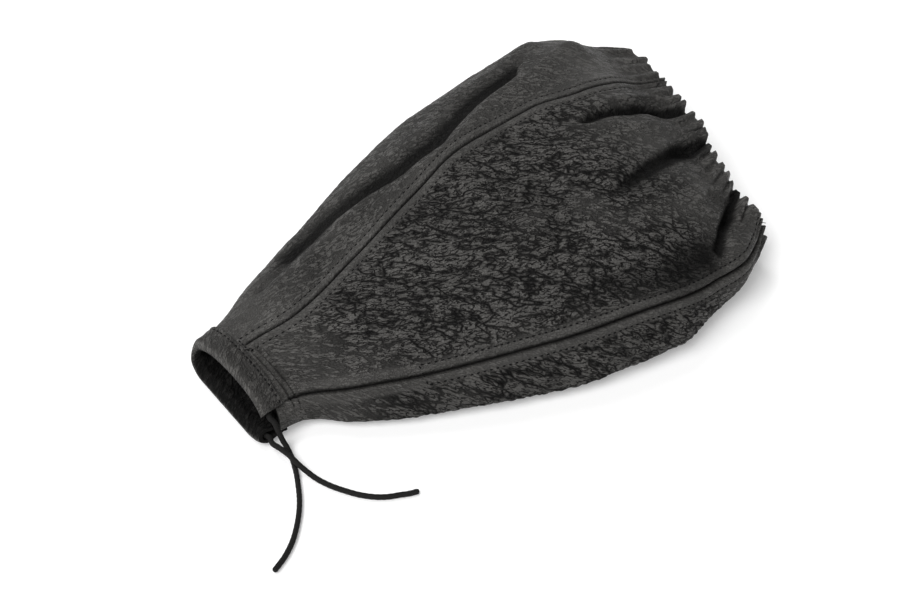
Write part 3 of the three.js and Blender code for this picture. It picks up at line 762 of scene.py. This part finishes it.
def leather(name, colours, wrinkled, gloss):
    """Dyed leather: a fine grain, and wrinkles where it is creased, dull in their valleys and darker there,
    partly as painted shade.
    """
    material, graph, shader = new_material(name, gloss, 0.1)
    maths = graph.maths
    flat = graph.add("UVMap", "UV", {"uv_map": "Hide"})
    creased, painted_shading = (
        graph.add("Attribute", "Fac", {"attribute_name": key}) for key in ("creased", "painted_shading"))
    amount = maths("MULTIPLY_ADD", creased, wrinkled, 0.3 * wrinkled, clamp=True)
    wrinkles = maths("MULTIPLY", graph.ripples(flat, *SHORT_WRINKLES), graph.ripples(flat, *LONG_WRINKLES))
    grain = graph.cells(flat, *GRAIN)
    pores = graph.noise(flat, PORES, 2.0)
    coarse = maths("ADD", maths("MULTIPLY", wrinkles, amount), maths("MULTIPLY", grain, 0.25))
    graph.bump(shader, maths("ADD", coarse, maths("MULTIPLY", pores, 0.06)), 1.0, WRINKLE_DEPTH)
    # Painted shade: the wrinkle valleys, and the hollows and grooves marked in the attribute, are painted
    # darker; where the mark is below 0 it paints a highlight
    raised = maths("MAXIMUM", wrinkles, maths("SUBTRACT", 1.0, amount))
    speckled = maths("MULTIPLY", raised, maths("MULTIPLY_ADD", grain, 0.25, 0.75))
    shade = maths("MULTIPLY", speckled, maths("MULTIPLY_ADD", painted_shading, -PAINTED_HOLLOW_SHADE, 1.0))
    patch = graph.noise(flat, PATCHES, 3.0)
    # Lighter patches at random are the leather's own tone, laid over the painted shade and highlight
    tone_and_painted_light = maths("MULTIPLY", shade, maths("ADD", patch, 0.4))
    graph.colour(shader, tone_and_painted_light, colours.hide, colours.crest)
    dull = maths("MULTIPLY", maths("SUBTRACT", 1.0, shade), 0.45)
    graph.join(maths("ADD", dull, gloss), shader["Roughness"])
    return material


def flesh(name, colours):
    """The rough flesh side of the hide and its cut edge."""
    material, graph, shader = new_material(name, 0.95, 0.1)
    place = graph.add("TexCoord", "Object")
    dark = colours.flesh
    graph.colour(shader, graph.noise(place, 60.0, 3.0), dark, [1.9 * value for value in dark])
    graph.bump(shader, graph.noise(place, 900.0, 4.0), 0.6, 0.0006)
    return material


def twist(name, colours, part, turns, roughness):
    """Spun or plaited yarn: pale and dark bands that run slantwise round the piece's own map."""
    material, graph, shader = new_material(name, roughness, 0.15)
    flat = graph.add("UVMap", "UV", {"uv_map": "Hide"})
    bands = graph.add(
        "TexWave", "Fac", {"bands_direction": "DIAGONAL"},
        Vector=flat, Scale=turns, Distortion=1.2, Detail=2.0)
    dark = getattr(colours, part)
    graph.colour(shader, bands, dark, [2.4 * value for value in dark])
    graph.bump(shader, bands, 0.5, 0.0002)
    return material


def spun_thread(name, colours):
    """Dull spun thread, a little uneven in colour."""
    material, graph, shader = new_material(name, 0.7, 0.1)
    fibre = graph.noise(graph.add("TexCoord", "Object"), 1800.0, 3.0)
    graph.colour(shader, fibre, colours.thread, [2 * value for value in colours.thread])
    graph.bump(shader, fibre, 0.5, 0.0002)
    return material


def white_floor(name, colours):
    """A white floor that the camera sees as pure white where no shadow falls on it."""
    material, graph, shader = new_material(name, 0.9, 0.0)
    shader["Base Color"].default_value = (*colours.floor, 1)
    seen = graph.add("BsdfDiffuse", "BSDF", Color=(FLOOR_SEEN, FLOOR_SEEN, FLOOR_SEEN, 1))
    glow = graph.add("Emission", "Emission", Strength=FLOOR_GLOW)
    plain = graph.nodes["Principled BSDF"].outputs["BSDF"]
    camera_ray = graph.add("LightPath", "Is Camera Ray")
    shown = graph.feed("MixShader", camera_ray, plain, graph.feed("AddShader", seen, glow))
    graph.join(shown, graph.nodes["Material Output"].inputs["Surface"])
    return material


MATERIALS = {
    "gaiter_hide": (leather, 0.9, 0.34),
    "band_hide": (leather, 1.0, 0.38),
    "flesh_side": (flesh,),
    "plaited_cord": (twist, "cord", 900, 0.8),
    "woven_elastic": (twist, "elastic", 700, 0.9),
    "sewing_thread": (spun_thread,),
    "white_floor": (white_floor,),
}


def material_of(name, colours):
    """A material by name, made the first time that a piece asks for it."""
    make, *choices = MATERIALS[name]
    return bpy.data.materials.get(name) or make(name, colours, *choices)


# Pieces

def shell_faces(rows, columns):
    """Faces of a closed wall: a fine outer grid, a coarser inner one, and strips that join their borders.

    The inner grid takes each outer row and column whose number divides by INNER_EVERY. Gives the faces, and
    how many of them belong to the outer grid.
    """
    every = INNER_EVERY
    inner_rows, inner_columns = (rows - 1) // every + 1, (columns - 1) // every + 1
    start = rows * columns
    outer = grid_faces(rows, columns)
    inner = grid_faces(inner_rows, inner_columns, start)[:, ::-1]
    fine = np.arange(start).reshape(rows, columns)
    coarse = start + np.arange(inner_rows * inner_columns).reshape(inner_rows, inner_columns)
    borders = (
        (fine[0], coarse[0]), (fine[:, -1], coarse[:, -1]),
        (fine[-1, ::-1], coarse[-1, ::-1]), (fine[::-1, 0], coarse[::-1, 0]))
    middle = every // 2
    strips = []
    for outer_line, inner_line in borders:
        for k in range(len(inner_line) - 1):
            a, b = inner_line[k], inner_line[k + 1]
            fan = outer_line[k * every:(k + 1) * every + 1]
            for i in range(every):
                strips.append((fan[i + 1], fan[i], a if i < middle else b))
            strips.append((fan[middle], a, b))
    return [*outer, *inner, *strips], len(outer)


def panel_rows(count):
    """Places of the rows along a panel, from its tucked neck edge to the hem, closest at the gathers."""
    neck = BAND_WIDTH - BAND_TUCK
    gathered = HEM - GATHER_START
    return np.interp(np.linspace(0, 1, count), [0, 0.85, 1], [neck, gathered, HEM])


def panel_columns(count, total):
    """Places of the columns across a panel: set distances beside both seams, and even steps between."""
    ends = np.asarray(SEAM_COLUMNS)
    inner = np.linspace(0, 1, count - 2 * len(ends) + 2)[1:-1]
    middle = ends[-1] + (total - 2 * ends[-1]) * inner
    near_first = np.broadcast_to(ends, (len(total), len(ends)))
    return np.concatenate([near_first, middle, total - ends[::-1]], axis=1)


def sew_panel(panel, sizes, colours):
    """One leather panel as a closed wall, doubled beside its seams, with its face and its flesh side."""
    s = panel_rows(panel.rows)
    total = panel.widths(s)
    length = panel_columns(panel.columns, total)
    outer, _, total = panel.face(s, length, sizes)
    coarse = slice(None, None, INNER_EVERY)
    s_in, length_in, total_in = s[coarse], length[coarse, coarse], total[coarse]
    bare, normal_in, total_in = panel.face(s_in, length_in, sizes, fine=False)
    away = np.minimum(length_in, total_in - length_in)
    doubled = smooth((ALLOWANCE - away) / 3) * smooth((s_in[:, None] - BAND_WIDTH) / 7)
    inner = bare - normal_in * (sizes.hide / MM * (1 + doubled))[..., None]
    points = placed(np.concatenate([outer.reshape(-1, 3), inner.reshape(-1, 3)]))
    faces, face_count = shell_faces(len(s), length.shape[1])
    flesh = np.ones(len(faces), np.int32)
    flesh[:face_count] = 0

    def flat_map(s, length, total):
        along = np.broadcast_to(s[:, None], length.shape)
        return np.stack([along, length - total / 2], axis=-1).reshape(-1, 2) * MM

    flat = np.concatenate([flat_map(s, length, total), flat_map(s_in, length_in, total_in)])
    flat += (0, HIDE_SPACING * panel.first)
    materials = [material_of("gaiter_hide", colours), material_of("flesh_side", colours)]
    angle = angle_at(panel.tables(s), length)
    away = np.minimum(length, total - length)
    creased = panel.creased(s[:, None], length - total / 2, away, angle)
    # Painted shade: the deep folds and the seam grooves are marked to be painted darker
    painted_shading = np.clip((-fold_height(s[:, None], angle) - 0.8) / 1.8, 0, 1)
    painted_shading = np.maximum(painted_shading, np.exp(-(away / 0.7) ** 2) * smooth((s[:, None] - BAND_WIDTH) / 3))
    inside = np.zeros(length_in.size)
    attributes = {
        "creased": np.concatenate([creased.ravel(), inside]),
        "painted_shading": np.concatenate([painted_shading.ravel(), inside])}
    piece = new_object(panel.node + "_hide", points, faces, materials, flesh, flat, attributes)
    finish_piece(piece, "leather", panel.node)


def beside(s, angle, height):
    """Points beside the skin, by distance from the rim and height over the middle of the hide."""
    point = skin(s, angle) + outward(s, angle) * (np.asarray(height) - HIDE / 2)[..., None]
    point[..., 2] = np.maximum(point[..., 2], 0)
    return point


def tunnel_angles(count):
    """Even steps along the neck band, from the lower mouth of the tunnel round the back to the upper one."""
    start, end = np.array([MOUTH_LOWER * math.pi]), np.array([(2 + MOUTH_UPPER) * math.pi])
    tables = arc_tables(np.array([NOSE]), start, end)
    total = tables[1][0, -1]
    return angle_at(tables, np.linspace(0, total, count)[None])[0], total


def band_outline(sizes):
    """The section of the folded band as distances from the rim and heights, and how far each is round it."""
    slot = HIDE / 2 + GAP
    edge = slot + HIDE
    tunnel = sizes.cord / MM / 2 + sizes.play / MM
    nose = tunnel + HIDE
    turn = np.linspace(0.5, 1.5, 17) * math.pi
    round_out = [(nose - 1.15 * nose * abs(math.cos(t)) ** 1.5, nose * math.sin(t)) for t in turn]
    round_in = [(nose + tunnel * math.cos(t), tunnel * math.sin(t)) for t in turn[::-2]]
    upper = [
        (s, np.interp(s, [nose, TUNNEL_END, BAND_WIDTH], [nose, edge, edge]))
        for s in np.linspace(BAND_WIDTH, nose, 16)[:-1]]
    lower = [(s, -h) for s, h in reversed(upper)]
    inside = [(BAND_WIDTH, -slot), (TUNNEL_END + 1, -slot), (TUNNEL_END - 0.8, -slot - 0.3)]
    back = [(s, -h) for s, h in reversed(inside)]
    outline = np.array([*upper, *round_out, *lower, *inside, *round_in, *back])
    steps = np.linalg.norm(np.diff(outline, axis=0), axis=1)
    return outline, np.concatenate([[0], np.cumsum(steps)]), len([*upper, *round_out, *lower])


def neck_band(sizes, colours):
    """The strip of leather folded over the drawstring, puckered where it is sewn down."""
    outline, around, outer_count = band_outline(sizes)
    size = len(outline)
    angles, total = tunnel_angles(BAND_STATIONS)
    along = np.linspace(0, total, BAND_STATIONS)
    s, height = outline[:, 0], outline[:, 1]
    side = np.where(height >= 0, 1.0, -1.0) * (np.arange(size) < outer_count)
    swell = np.interp(s, *BAND_PUCKERS)
    row_dip = -0.4 * np.exp(-((s - BAND_ROW) / 0.55) ** 2)
    edge_turn = -0.35 * smooth((s - 9.3) / 0.7)

    def section(x, angle):
        slant = x + 0.35 * s
        pucker = 0.55 * rolling(slant / 5.2, s / 16, 71) + 0.22 * rolling(slant / 2.3, s / 9, 72)
        wander = 0.45 * rolling(x / 11, 0.5, 73) + 0.25 * rolling(x / 4.1, 0.5, 74)
        at = s + wander * smooth((s - 7) / 3)
        return beside(at, angle, height + (swell * pucker + row_dip + edge_turn) * side)

    points = np.concatenate([section(x, angle) for x, angle in zip(along, angles)])
    caps = [range(size - 1, -1, -1), range((BAND_STATIONS - 1) * size, BAND_STATIONS * size)]
    faces = [*grid_faces(BAND_STATIONS, size, tube=True), *caps]
    flat = np.stack([np.tile(around, BAND_STATIONS), np.repeat(along, size)], axis=-1) * MM
    flat += (HIDE_SPACING * 5, 0)
    rough = [*np.tile(np.arange(size) >= outer_count - 1, BAND_STATIONS - 1), 1, 1]
    inside = smooth(-height / 1.2)
    # A painted highlight along the band's rim
    tone_and_painted_light = 0.6 * np.exp(-((s - 0.4) / 0.8) ** 2) * (1 - inside)
    # Painted shade on the inner leg that faces into the mouth, an even darkening over the whole band, and the
    # rim's painted highlight
    attributes = {
        "creased": np.tile(0.1 + 0.9 * inside, BAND_STATIONS),
        "painted_shading": np.tile(0.2 + 0.75 * inside - tone_and_painted_light, BAND_STATIONS)}
    materials = [material_of("band_hide", colours), material_of("flesh_side", colours)]
    piece = new_object("neck_band_hide", placed(points), faces, materials, rough, flat, attributes)
    finish_piece(piece, "band_leather", "neck_band")


def line_through(route, step):
    """A smooth line through route points, with points a step apart and its total length."""
    route = np.asarray(route, float)
    ends = [2 * route[0] - route[1], *route, 2 * route[-1] - route[-2]]
    line = []
    for i in range(1, len(ends) - 2):
        p0, p1, p2, p3 = ends[i - 1:i + 3]
        t1 = np.linalg.norm(p1 - p0) ** 0.5
        t2 = t1 + np.linalg.norm(p2 - p1) ** 0.5
        t3 = t2 + np.linalg.norm(p3 - p2) ** 0.5
        t = np.linspace(t1, t2, 24, endpoint=i == len(ends) - 3)[:, None]
        a1 = (t1 - t) / t1 * p0 + t / t1 * p1
        a2 = (t2 - t) / (t2 - t1) * p1 + (t - t1) / (t2 - t1) * p2
        a3 = (t3 - t) / (t3 - t2) * p2 + (t - t2) / (t3 - t2) * p3
        b1 = (t2 - t) / t2 * a1 + t / t2 * a2
        b2 = (t3 - t) / (t3 - t1) * a2 + (t - t1) / (t3 - t1) * a3
        line.append((t2 - t) / (t2 - t1) * b1 + (t - t1) / (t2 - t1) * b2)
    line = np.concatenate(line)
    far = np.concatenate([[0], np.cumsum(np.linalg.norm(np.diff(line, axis=0), axis=1))])
    places = np.linspace(0, far[-1], max(2, int(round(far[-1] / step)) + 1))
    return np.stack([np.interp(places, far, line[:, i]) for i in range(3)], axis=-1), float(far[-1])


def frames_along(line):
    """Two directions across a line at each of its points, turning as little as they can."""
    tangent = unit(np.gradient(line, axis=0))
    side = np.array([0.0, 0.0, 1.0]) if abs(tangent[0, 2]) < 0.8 else np.array([1.0, 0.0, 0.0])
    first = []
    for t in tangent:
        side = side - t * np.dot(side, t)
        side = side / np.linalg.norm(side)
        first.append(side)
    first = np.array(first)
    return first, np.cross(tangent, first)


def plaited_tube(name, line, diameter, plait, yarn):
    """A round plaited cord along a line, in millimetres, its strands standing out where they cross over."""
    count = len(line)
    one, two = frames_along(line)
    turn = 2 * math.pi * np.arange(CORD_SIDES) / CORD_SIDES
    far = float(np.linalg.norm(line[1] - line[0])) * np.arange(count)[:, None]
    lay = far * 2 * math.pi / (PLAIT_LAY * diameter)
    strand = np.sin(plait * turn + lay) * np.sin(plait * turn - lay)
    taper = np.ones((count, 1))
    taper[0], taper[-1], taper[-2] = 0.96, 0.72, 0.94
    radius = diameter / 2 * (0.97 + 0.06 * strand) * taper
    ring = one[:, None] * np.cos(turn)[:, None] + two[:, None] * np.sin(turn)[:, None]
    points = line[:, None] + ring * radius[..., None]
    points[..., 2] = np.maximum(points[..., 2], 0.02)
    ends = [line[0] - (line[1] - line[0]) * 0.3, line[-1] + (line[-1] - line[-2]) * 0.45]
    total, last = count * CORD_SIDES, (count - 1) * CORD_SIDES
    faces = [*grid_faces(count, CORD_SIDES, tube=True)]
    for i in range(CORD_SIDES):
        j = (i + 1) % CORD_SIDES
        faces += [(j, i, total), (last + i, last + j, total + 1)]
    flat = np.stack(np.broadcast_arrays(far, turn / 2 * diameter), axis=-1).reshape(-1, 2)
    flat = np.concatenate([flat, [[0, 0], [far[-1, 0], 0]]]) * MM
    return new_object(name, placed([*points.reshape(-1, 3), *ends]), faces, [yarn], None, flat)


def drawstring(sizes, colours):
    """The braided drawstring: the loop held in the band, and its two loose ends on the floor."""
    yarn = material_of("plaited_cord", colours)
    thick = sizes.cord / MM
    loop, _ = line_through(beside(NOSE, tunnel_angles(LOOP_STATIONS)[0], 0), CORD_STEP)
    piece = plaited_tube("drawstring_in_band", loop, thick, sizes.plait, yarn)
    finish_piece(piece, "drawstring", "drawstring_loop")
    for name, node, held, route in (
            ("drawstring_upper_end", "drawstring_tail_upper", loop, UPPER_TAIL),
            ("drawstring_lower_end", "drawstring_tail_lower", loop[::-1], LOWER_TAIL)):
        way = unit(held[-1] - held[-3])
        start = held[-1] + way * GAP
        line, length = line_through([start, start + way * TAIL_START, *route], CORD_STEP)
        piece = plaited_tube(name, line, thick, sizes.plait, yarn)
        finish_piece(piece, "drawstring", node)


def hem_elastic(sizes, colours):
    """The woven elastic inside the gathers, ribbed along its length and crimped where it is sewn."""
    middle = HEM - ELASTIC_INSET
    tables = arc_tables(np.array([middle]), np.array([0.0]), np.array([2 * math.pi]))
    along = tables[1][0, -1] * np.arange(ELASTIC_STATIONS) / ELASTIC_STATIONS
    angles = angle_at(tables, along[None])[0]
    rise = fold_height(np.full(ELASTIC_STATIONS, middle), angles)
    wide, thick = sizes.elastic / MM, sizes.elastic_depth / MM
    ribs = np.linspace(-wide / 2, wide / 2, 25)
    relief = ELASTIC_RIB * np.cos(2 * math.pi * ribs / (wide / 8))
    across_hem = np.concatenate([ribs, ribs[::-1]])
    depth = ELASTIC_FACE + np.concatenate([ELASTIC_RIB - relief, thick - ELASTIC_RIB + relief[::-1]])
    size = len(depth)
    crimp = 0.08 * np.sin(2 * math.pi * along / 2.1)
    s, angle = middle + across_hem, angles[:, None]
    points = skin(s, angle) + outward(s, angle) * (rise[:, None] - (depth + crimp[:, None]))[..., None]
    faces = grid_faces(ELASTIC_STATIONS, size, tube=True, ring=True)
    flat = np.stack([np.repeat(along, size), np.tile(across_hem, ELASTIC_STATIONS)], axis=-1) * MM
    weave = [material_of("woven_elastic", colours)]
    piece = new_object("hem_elastic_weave", placed(points.reshape(-1, 3)), faces, weave, None, flat)
    finish_piece(piece, "elastic", "hem_elastic")


# Stitching

def model_stitch():
    """One stitch of thread, two units long and one across: a rod whose ends taper and dip into the hide."""
    clear_selection()
    bpy.ops.mesh.primitive_cylinder_add(vertices=7, radius=0.5, depth=2, rotation=(0, math.pi / 2, 0))
    rod = bpy.context.active_object
    bpy.ops.object.transform_apply(location=False, rotation=True, scale=False)
    bpy.ops.object.mode_set(mode="EDIT")
    for place in (-0.7, -0.25, 0.25, 0.7):
        bpy.ops.mesh.select_all(action="SELECT")
        bpy.ops.mesh.bisect(plane_co=(place, 0, 0), plane_no=(1, 0, 0))
    bpy.ops.object.mode_set(mode="OBJECT")
    mesh = rod.data
    points = np.array([point.co for point in mesh.vertices])
    faces = [tuple(face.vertices) for face in mesh.polygons]
    reach = np.abs(points[:, 0:1])
    points[:, 1:] *= 1 - 0.45 * reach ** 4
    points[:, 2:] -= 0.9 * reach ** 3
    bpy.data.objects.remove(rod)
    bpy.data.meshes.remove(mesh)
    return points, faces


class Sewing:
    """Gathers rows of stitches into one mesh."""

    def __init__(self, sizes):
        self.stitch, self.stitch_faces = model_stitch()
        self.thick = sizes.thread / MM
        self.points, self.faces = [], []

    def follow(self, line, ups, share, rise=0.0):
        """A row of stitches from each point of a line to the next, standing up along ups, gaps between."""
        ups = unit(ups[:-1] + ups[1:])
        middle = (line[:-1] + line[1:]) / 2 + ups * rise
        half = (line[1:] - line[:-1]) / 2 * share
        way = unit(half)
        up = unit(ups - way * np.sum(ups * way, axis=1, keepdims=True))
        side = np.cross(up, way)
        x, y, z = self.stitch.T[..., None]
        for k in range(len(half)):
            base = len(self.points) * len(self.stitch)
            self.points.append(middle[k] + x * half[k] + (y * side[k] + z * up[k]) * self.thick)
            self.faces += [tuple(base + i for i in face) for face in self.stitch_faces]

    def finish(self, name, colours, slot):
        points = np.concatenate(self.points)
        points[:, 2] = np.maximum(points[:, 2], 0)
        piece = new_object(name, placed(points), self.faces, [material_of("sewing_thread", colours)])
        finish_piece(piece, slot)


def sew_seams(sizes, colours):
    """Topstitching beside the four seams, and the bars of stitches where two of its rows begin."""
    sewing = Sewing(sizes)
    row, end = sizes.row / MM, HEM - 2
    for panel in PANELS:
        for seam, from_first in ((panel.first, True), (panel.last, False)):
            start = TOPSTITCH_FROM[seam]
            s = np.linspace(start, end, int(round((end - start) / (sizes.stitch / MM))) + 1)
            total = panel.widths(s)
            shift = 0.12 * np.sin(2.1 * np.arange(len(s)))[:, None]
            length = (row + shift) if from_first else total - row - shift
            point, normal, _ = panel.face(s, length, sizes, fine=False)
            sewing.follow(point[:, 0], normal[:, 0], share=0.64, rise=0.02)
    for before, after in ((PANELS[0], PANELS[1]), (PANELS[3], PANELS[0])):
        bar = np.array([TOPSTITCH_FROM[before.last]])
        total = before.widths(bar)[0, 0]
        near = np.array([[total - row, total - row / 2, total]])
        one, up_one, _ = before.face(bar, near, sizes, fine=False)
        two, up_two, _ = after.face(bar, np.array([[row / 2, row]]), sizes, fine=False)
        sewing.follow(np.concatenate([one[0], two[0]]), np.concatenate([up_one[0], up_two[0]]), share=0.85)
    sewing.finish("seam_stitching", colours, "leather")


def sew_band(sizes, colours):
    """The row of stitches that holds the neck band down, seen on both of its sides."""
    sewing = Sewing(sizes)
    angles, _ = tunnel_angles(int(round(BAND_ARC / (sizes.stitch / MM))))
    for side in (1, -1):
        line = beside(BAND_ROW, angles, side * (HIDE / 2 + GAP + HIDE - BAND_STITCH_SINK))
        sewing.follow(line, outward(BAND_ROW, angles) * side, share=0.78)
    sewing.finish("band_stitching", colours, "band_leather")


def loose_threads(sizes, colours):
    """Short ends of thread left at the start of a seam and at the hem."""
    for number, (seam, s, lean, reach) in enumerate(LOOSE_THREADS, 1):
        at = np.array([float(s)])
        total = PANELS[0].widths(at)
        length = np.full((1, 1), LOOSE_THREAD_ASIDE) if seam == 0 else total - LOOSE_THREAD_ASIDE
        point, normal, _ = PANELS[0].face(at, length, sizes, fine=False)
        origin, up, lean = point[0, 0], normal[0, 0], np.array(lean, float)
        steps = ((-0.3, 0), (0.5, 0.15), (0.75, 0.5), (0.45, reach))
        line, _ = line_through([origin + up * rise + lean * share for rise, share in steps], 0.25)
        thread = material_of("sewing_thread", colours)
        piece = plaited_tube("loose_thread_%d" % number, line, LOOSE_THREAD, sizes.plait, thread)
        finish_piece(piece, "leather")


# The stage

def studio_world():
    """A white room: dim overhead, brighter towards the horizon, and plain white to the camera."""
    world = bpy.data.worlds.new("studio")
    graph = Graph(world)
    background = graph.nodes["Background"].inputs
    height = graph.add("SeparateXYZ", "Z", Vector=graph.add("TexCoord", "Generated"))
    rise = graph.add(
        "MapRange", "Result", {"interpolation_type": "SMOOTHSTEP"},
        Value=height, From_Max=0.5, To_Min=HORIZON_LIGHT, To_Max=WORLD_LIGHT)
    camera_ray = graph.add("LightPath", "Is Camera Ray")
    graph.join(graph.add("Mix", "Result", Factor=camera_ray, A=rise, B=1.0), background["Strength"])
    background["Color"].default_value = (1, 1, 1, 1)
    return world


def direction(azimuth, elevation):
    """The way from the part towards a lamp or the camera, and the turn that makes either look back."""
    a, e = math.radians(azimuth), math.radians(elevation)
    way = Vector((math.sin(a) * math.cos(e), -math.cos(a) * math.cos(e), math.sin(e)))
    return way, way.to_track_quat("Z", "Y").to_euler()


def add_lamp(name, strength, spread, azimuth, elevation):
    way, turn = direction(azimuth, elevation)
    clear_selection()
    bpy.ops.object.light_add(type="SUN", location=way * 2)
    lamp = bpy.context.active_object
    lamp.name = name
    lamp.rotation_euler = turn
    lamp.data.energy = strength
    lamp.data.angle = math.radians(spread)


def add_camera():
    way, turn = direction(CAMERA_AZIMUTH, CAMERA_ELEVATION)
    clear_selection()
    bpy.ops.object.camera_add(location=Vector(placed((0, 0, 0))) + way * CAMERA_DISTANCE * MM)
    camera = bpy.context.active_object
    camera.rotation_euler = turn
    camera.data.lens = CAMERA_LENS
    camera.data.sensor_width = CAMERA_SENSOR
    camera.data.clip_start = 0.01
    camera.data.clip_end = 20
    clear_selection()
    return camera


# Operators

class Making:
    """A step that makes pieces from the sizes and colours kept with the scene."""

    def execute(self, context):
        self.make(context.scene.gaiter_sizes, context.scene.gaiter_colours)
        return {"FINISHED"}


class GAITER_OT_stage(bpy.types.Operator):
    """Set up the white floor, the soft light and the camera"""
    bl_idname = "gaiter.stage"
    bl_label = "Floor, light and camera"

    def execute(self, context):
        scene = context.scene
        scene.view_settings.view_transform = "Standard"
        clear_selection()
        bpy.ops.mesh.primitive_plane_add(size=FLOOR_SIZE, location=(0, 0, -FLOOR_DROP))
        floor = context.active_object
        floor.name = "floor"
        bpy.ops.object.transform_apply(location=True, rotation=False, scale=False)
        floor.data.materials.append(material_of("white_floor", scene.gaiter_colours))
        for lamp in LAMPS:
            add_lamp(*lamp)
        scene.world = studio_world()
        scene.camera = add_camera()
        return {"FINISHED"}


class GAITER_OT_drawstring(Making, bpy.types.Operator):
    """Plait the drawstring and lay out its two loose ends"""
    bl_idname = "gaiter.drawstring"
    bl_label = "Drawstring"
    make = staticmethod(drawstring)


class GAITER_OT_panels(Making, bpy.types.Operator):
    """Cut and sew the four leather panels of the bag"""
    bl_idname = "gaiter.panels"
    bl_label = "Leather panels"

    def make(self, sizes, colours):
        for panel in PANELS:
            sew_panel(panel, sizes, colours)


class GAITER_OT_neck_band(Making, bpy.types.Operator):
    """Fold the neck band over the drawstring"""
    bl_idname = "gaiter.neck_band"
    bl_label = "Neck band"
    make = staticmethod(neck_band)


class GAITER_OT_elastic(Making, bpy.types.Operator):
    """Weave the elastic inside the hem"""
    bl_idname = "gaiter.elastic"
    bl_label = "Hem elastic"
    make = staticmethod(hem_elastic)


class GAITER_OT_stitching(Making, bpy.types.Operator):
    """Sew the rows of stitches and leave the loose thread ends"""
    bl_idname = "gaiter.stitching"
    bl_label = "Stitching"

    def make(self, sizes, colours):
        sew_seams(sizes, colours)
        sew_band(sizes, colours)
        loose_threads(sizes, colours)


class GAITER_PT_panel(bpy.types.Panel):
    """Sizes, colours and making steps of the gaiter"""
    bl_label = "Gaiter"
    bl_idname = "GAITER_PT_panel"
    bl_space_type = "VIEW_3D"
    bl_region_type = "UI"
    bl_category = "Gaiter"

    def draw(self, context):
        column = self.layout.column()
        for group in (context.scene.gaiter_sizes, context.scene.gaiter_colours):
            for name in group.bl_rna.properties.keys():
                if name not in ("rna_type", "name"):
                    column.prop(group, name)
        for operator in OPERATORS:
            column.operator(operator.bl_idname)


OPERATORS = (
    GAITER_OT_stage, GAITER_OT_drawstring, GAITER_OT_panels, GAITER_OT_neck_band, GAITER_OT_elastic,
    GAITER_OT_stitching)
CLASSES = (GaiterSizes, GaiterColours, *OPERATORS, GAITER_PT_panel)


def register():
    for cls in CLASSES:
        bpy.utils.register_class(cls)
    bpy.types.Scene.gaiter_sizes = PointerProperty(type=GaiterSizes)
    bpy.types.Scene.gaiter_colours = PointerProperty(type=GaiterColours)


def unregister():
    del bpy.types.Scene.gaiter_colours
    del bpy.types.Scene.gaiter_sizes
    for cls in reversed(CLASSES):
        bpy.utils.unregister_class(cls)


def main():
    register()
    bpy.ops.gaiter.stage()
    bpy.ops.gaiter.drawstring()
    bpy.ops.gaiter.panels()
    bpy.ops.gaiter.neck_band()
    bpy.ops.gaiter.elastic()
    bpy.ops.gaiter.stitching()


if __name__ == "__main__":
    main()
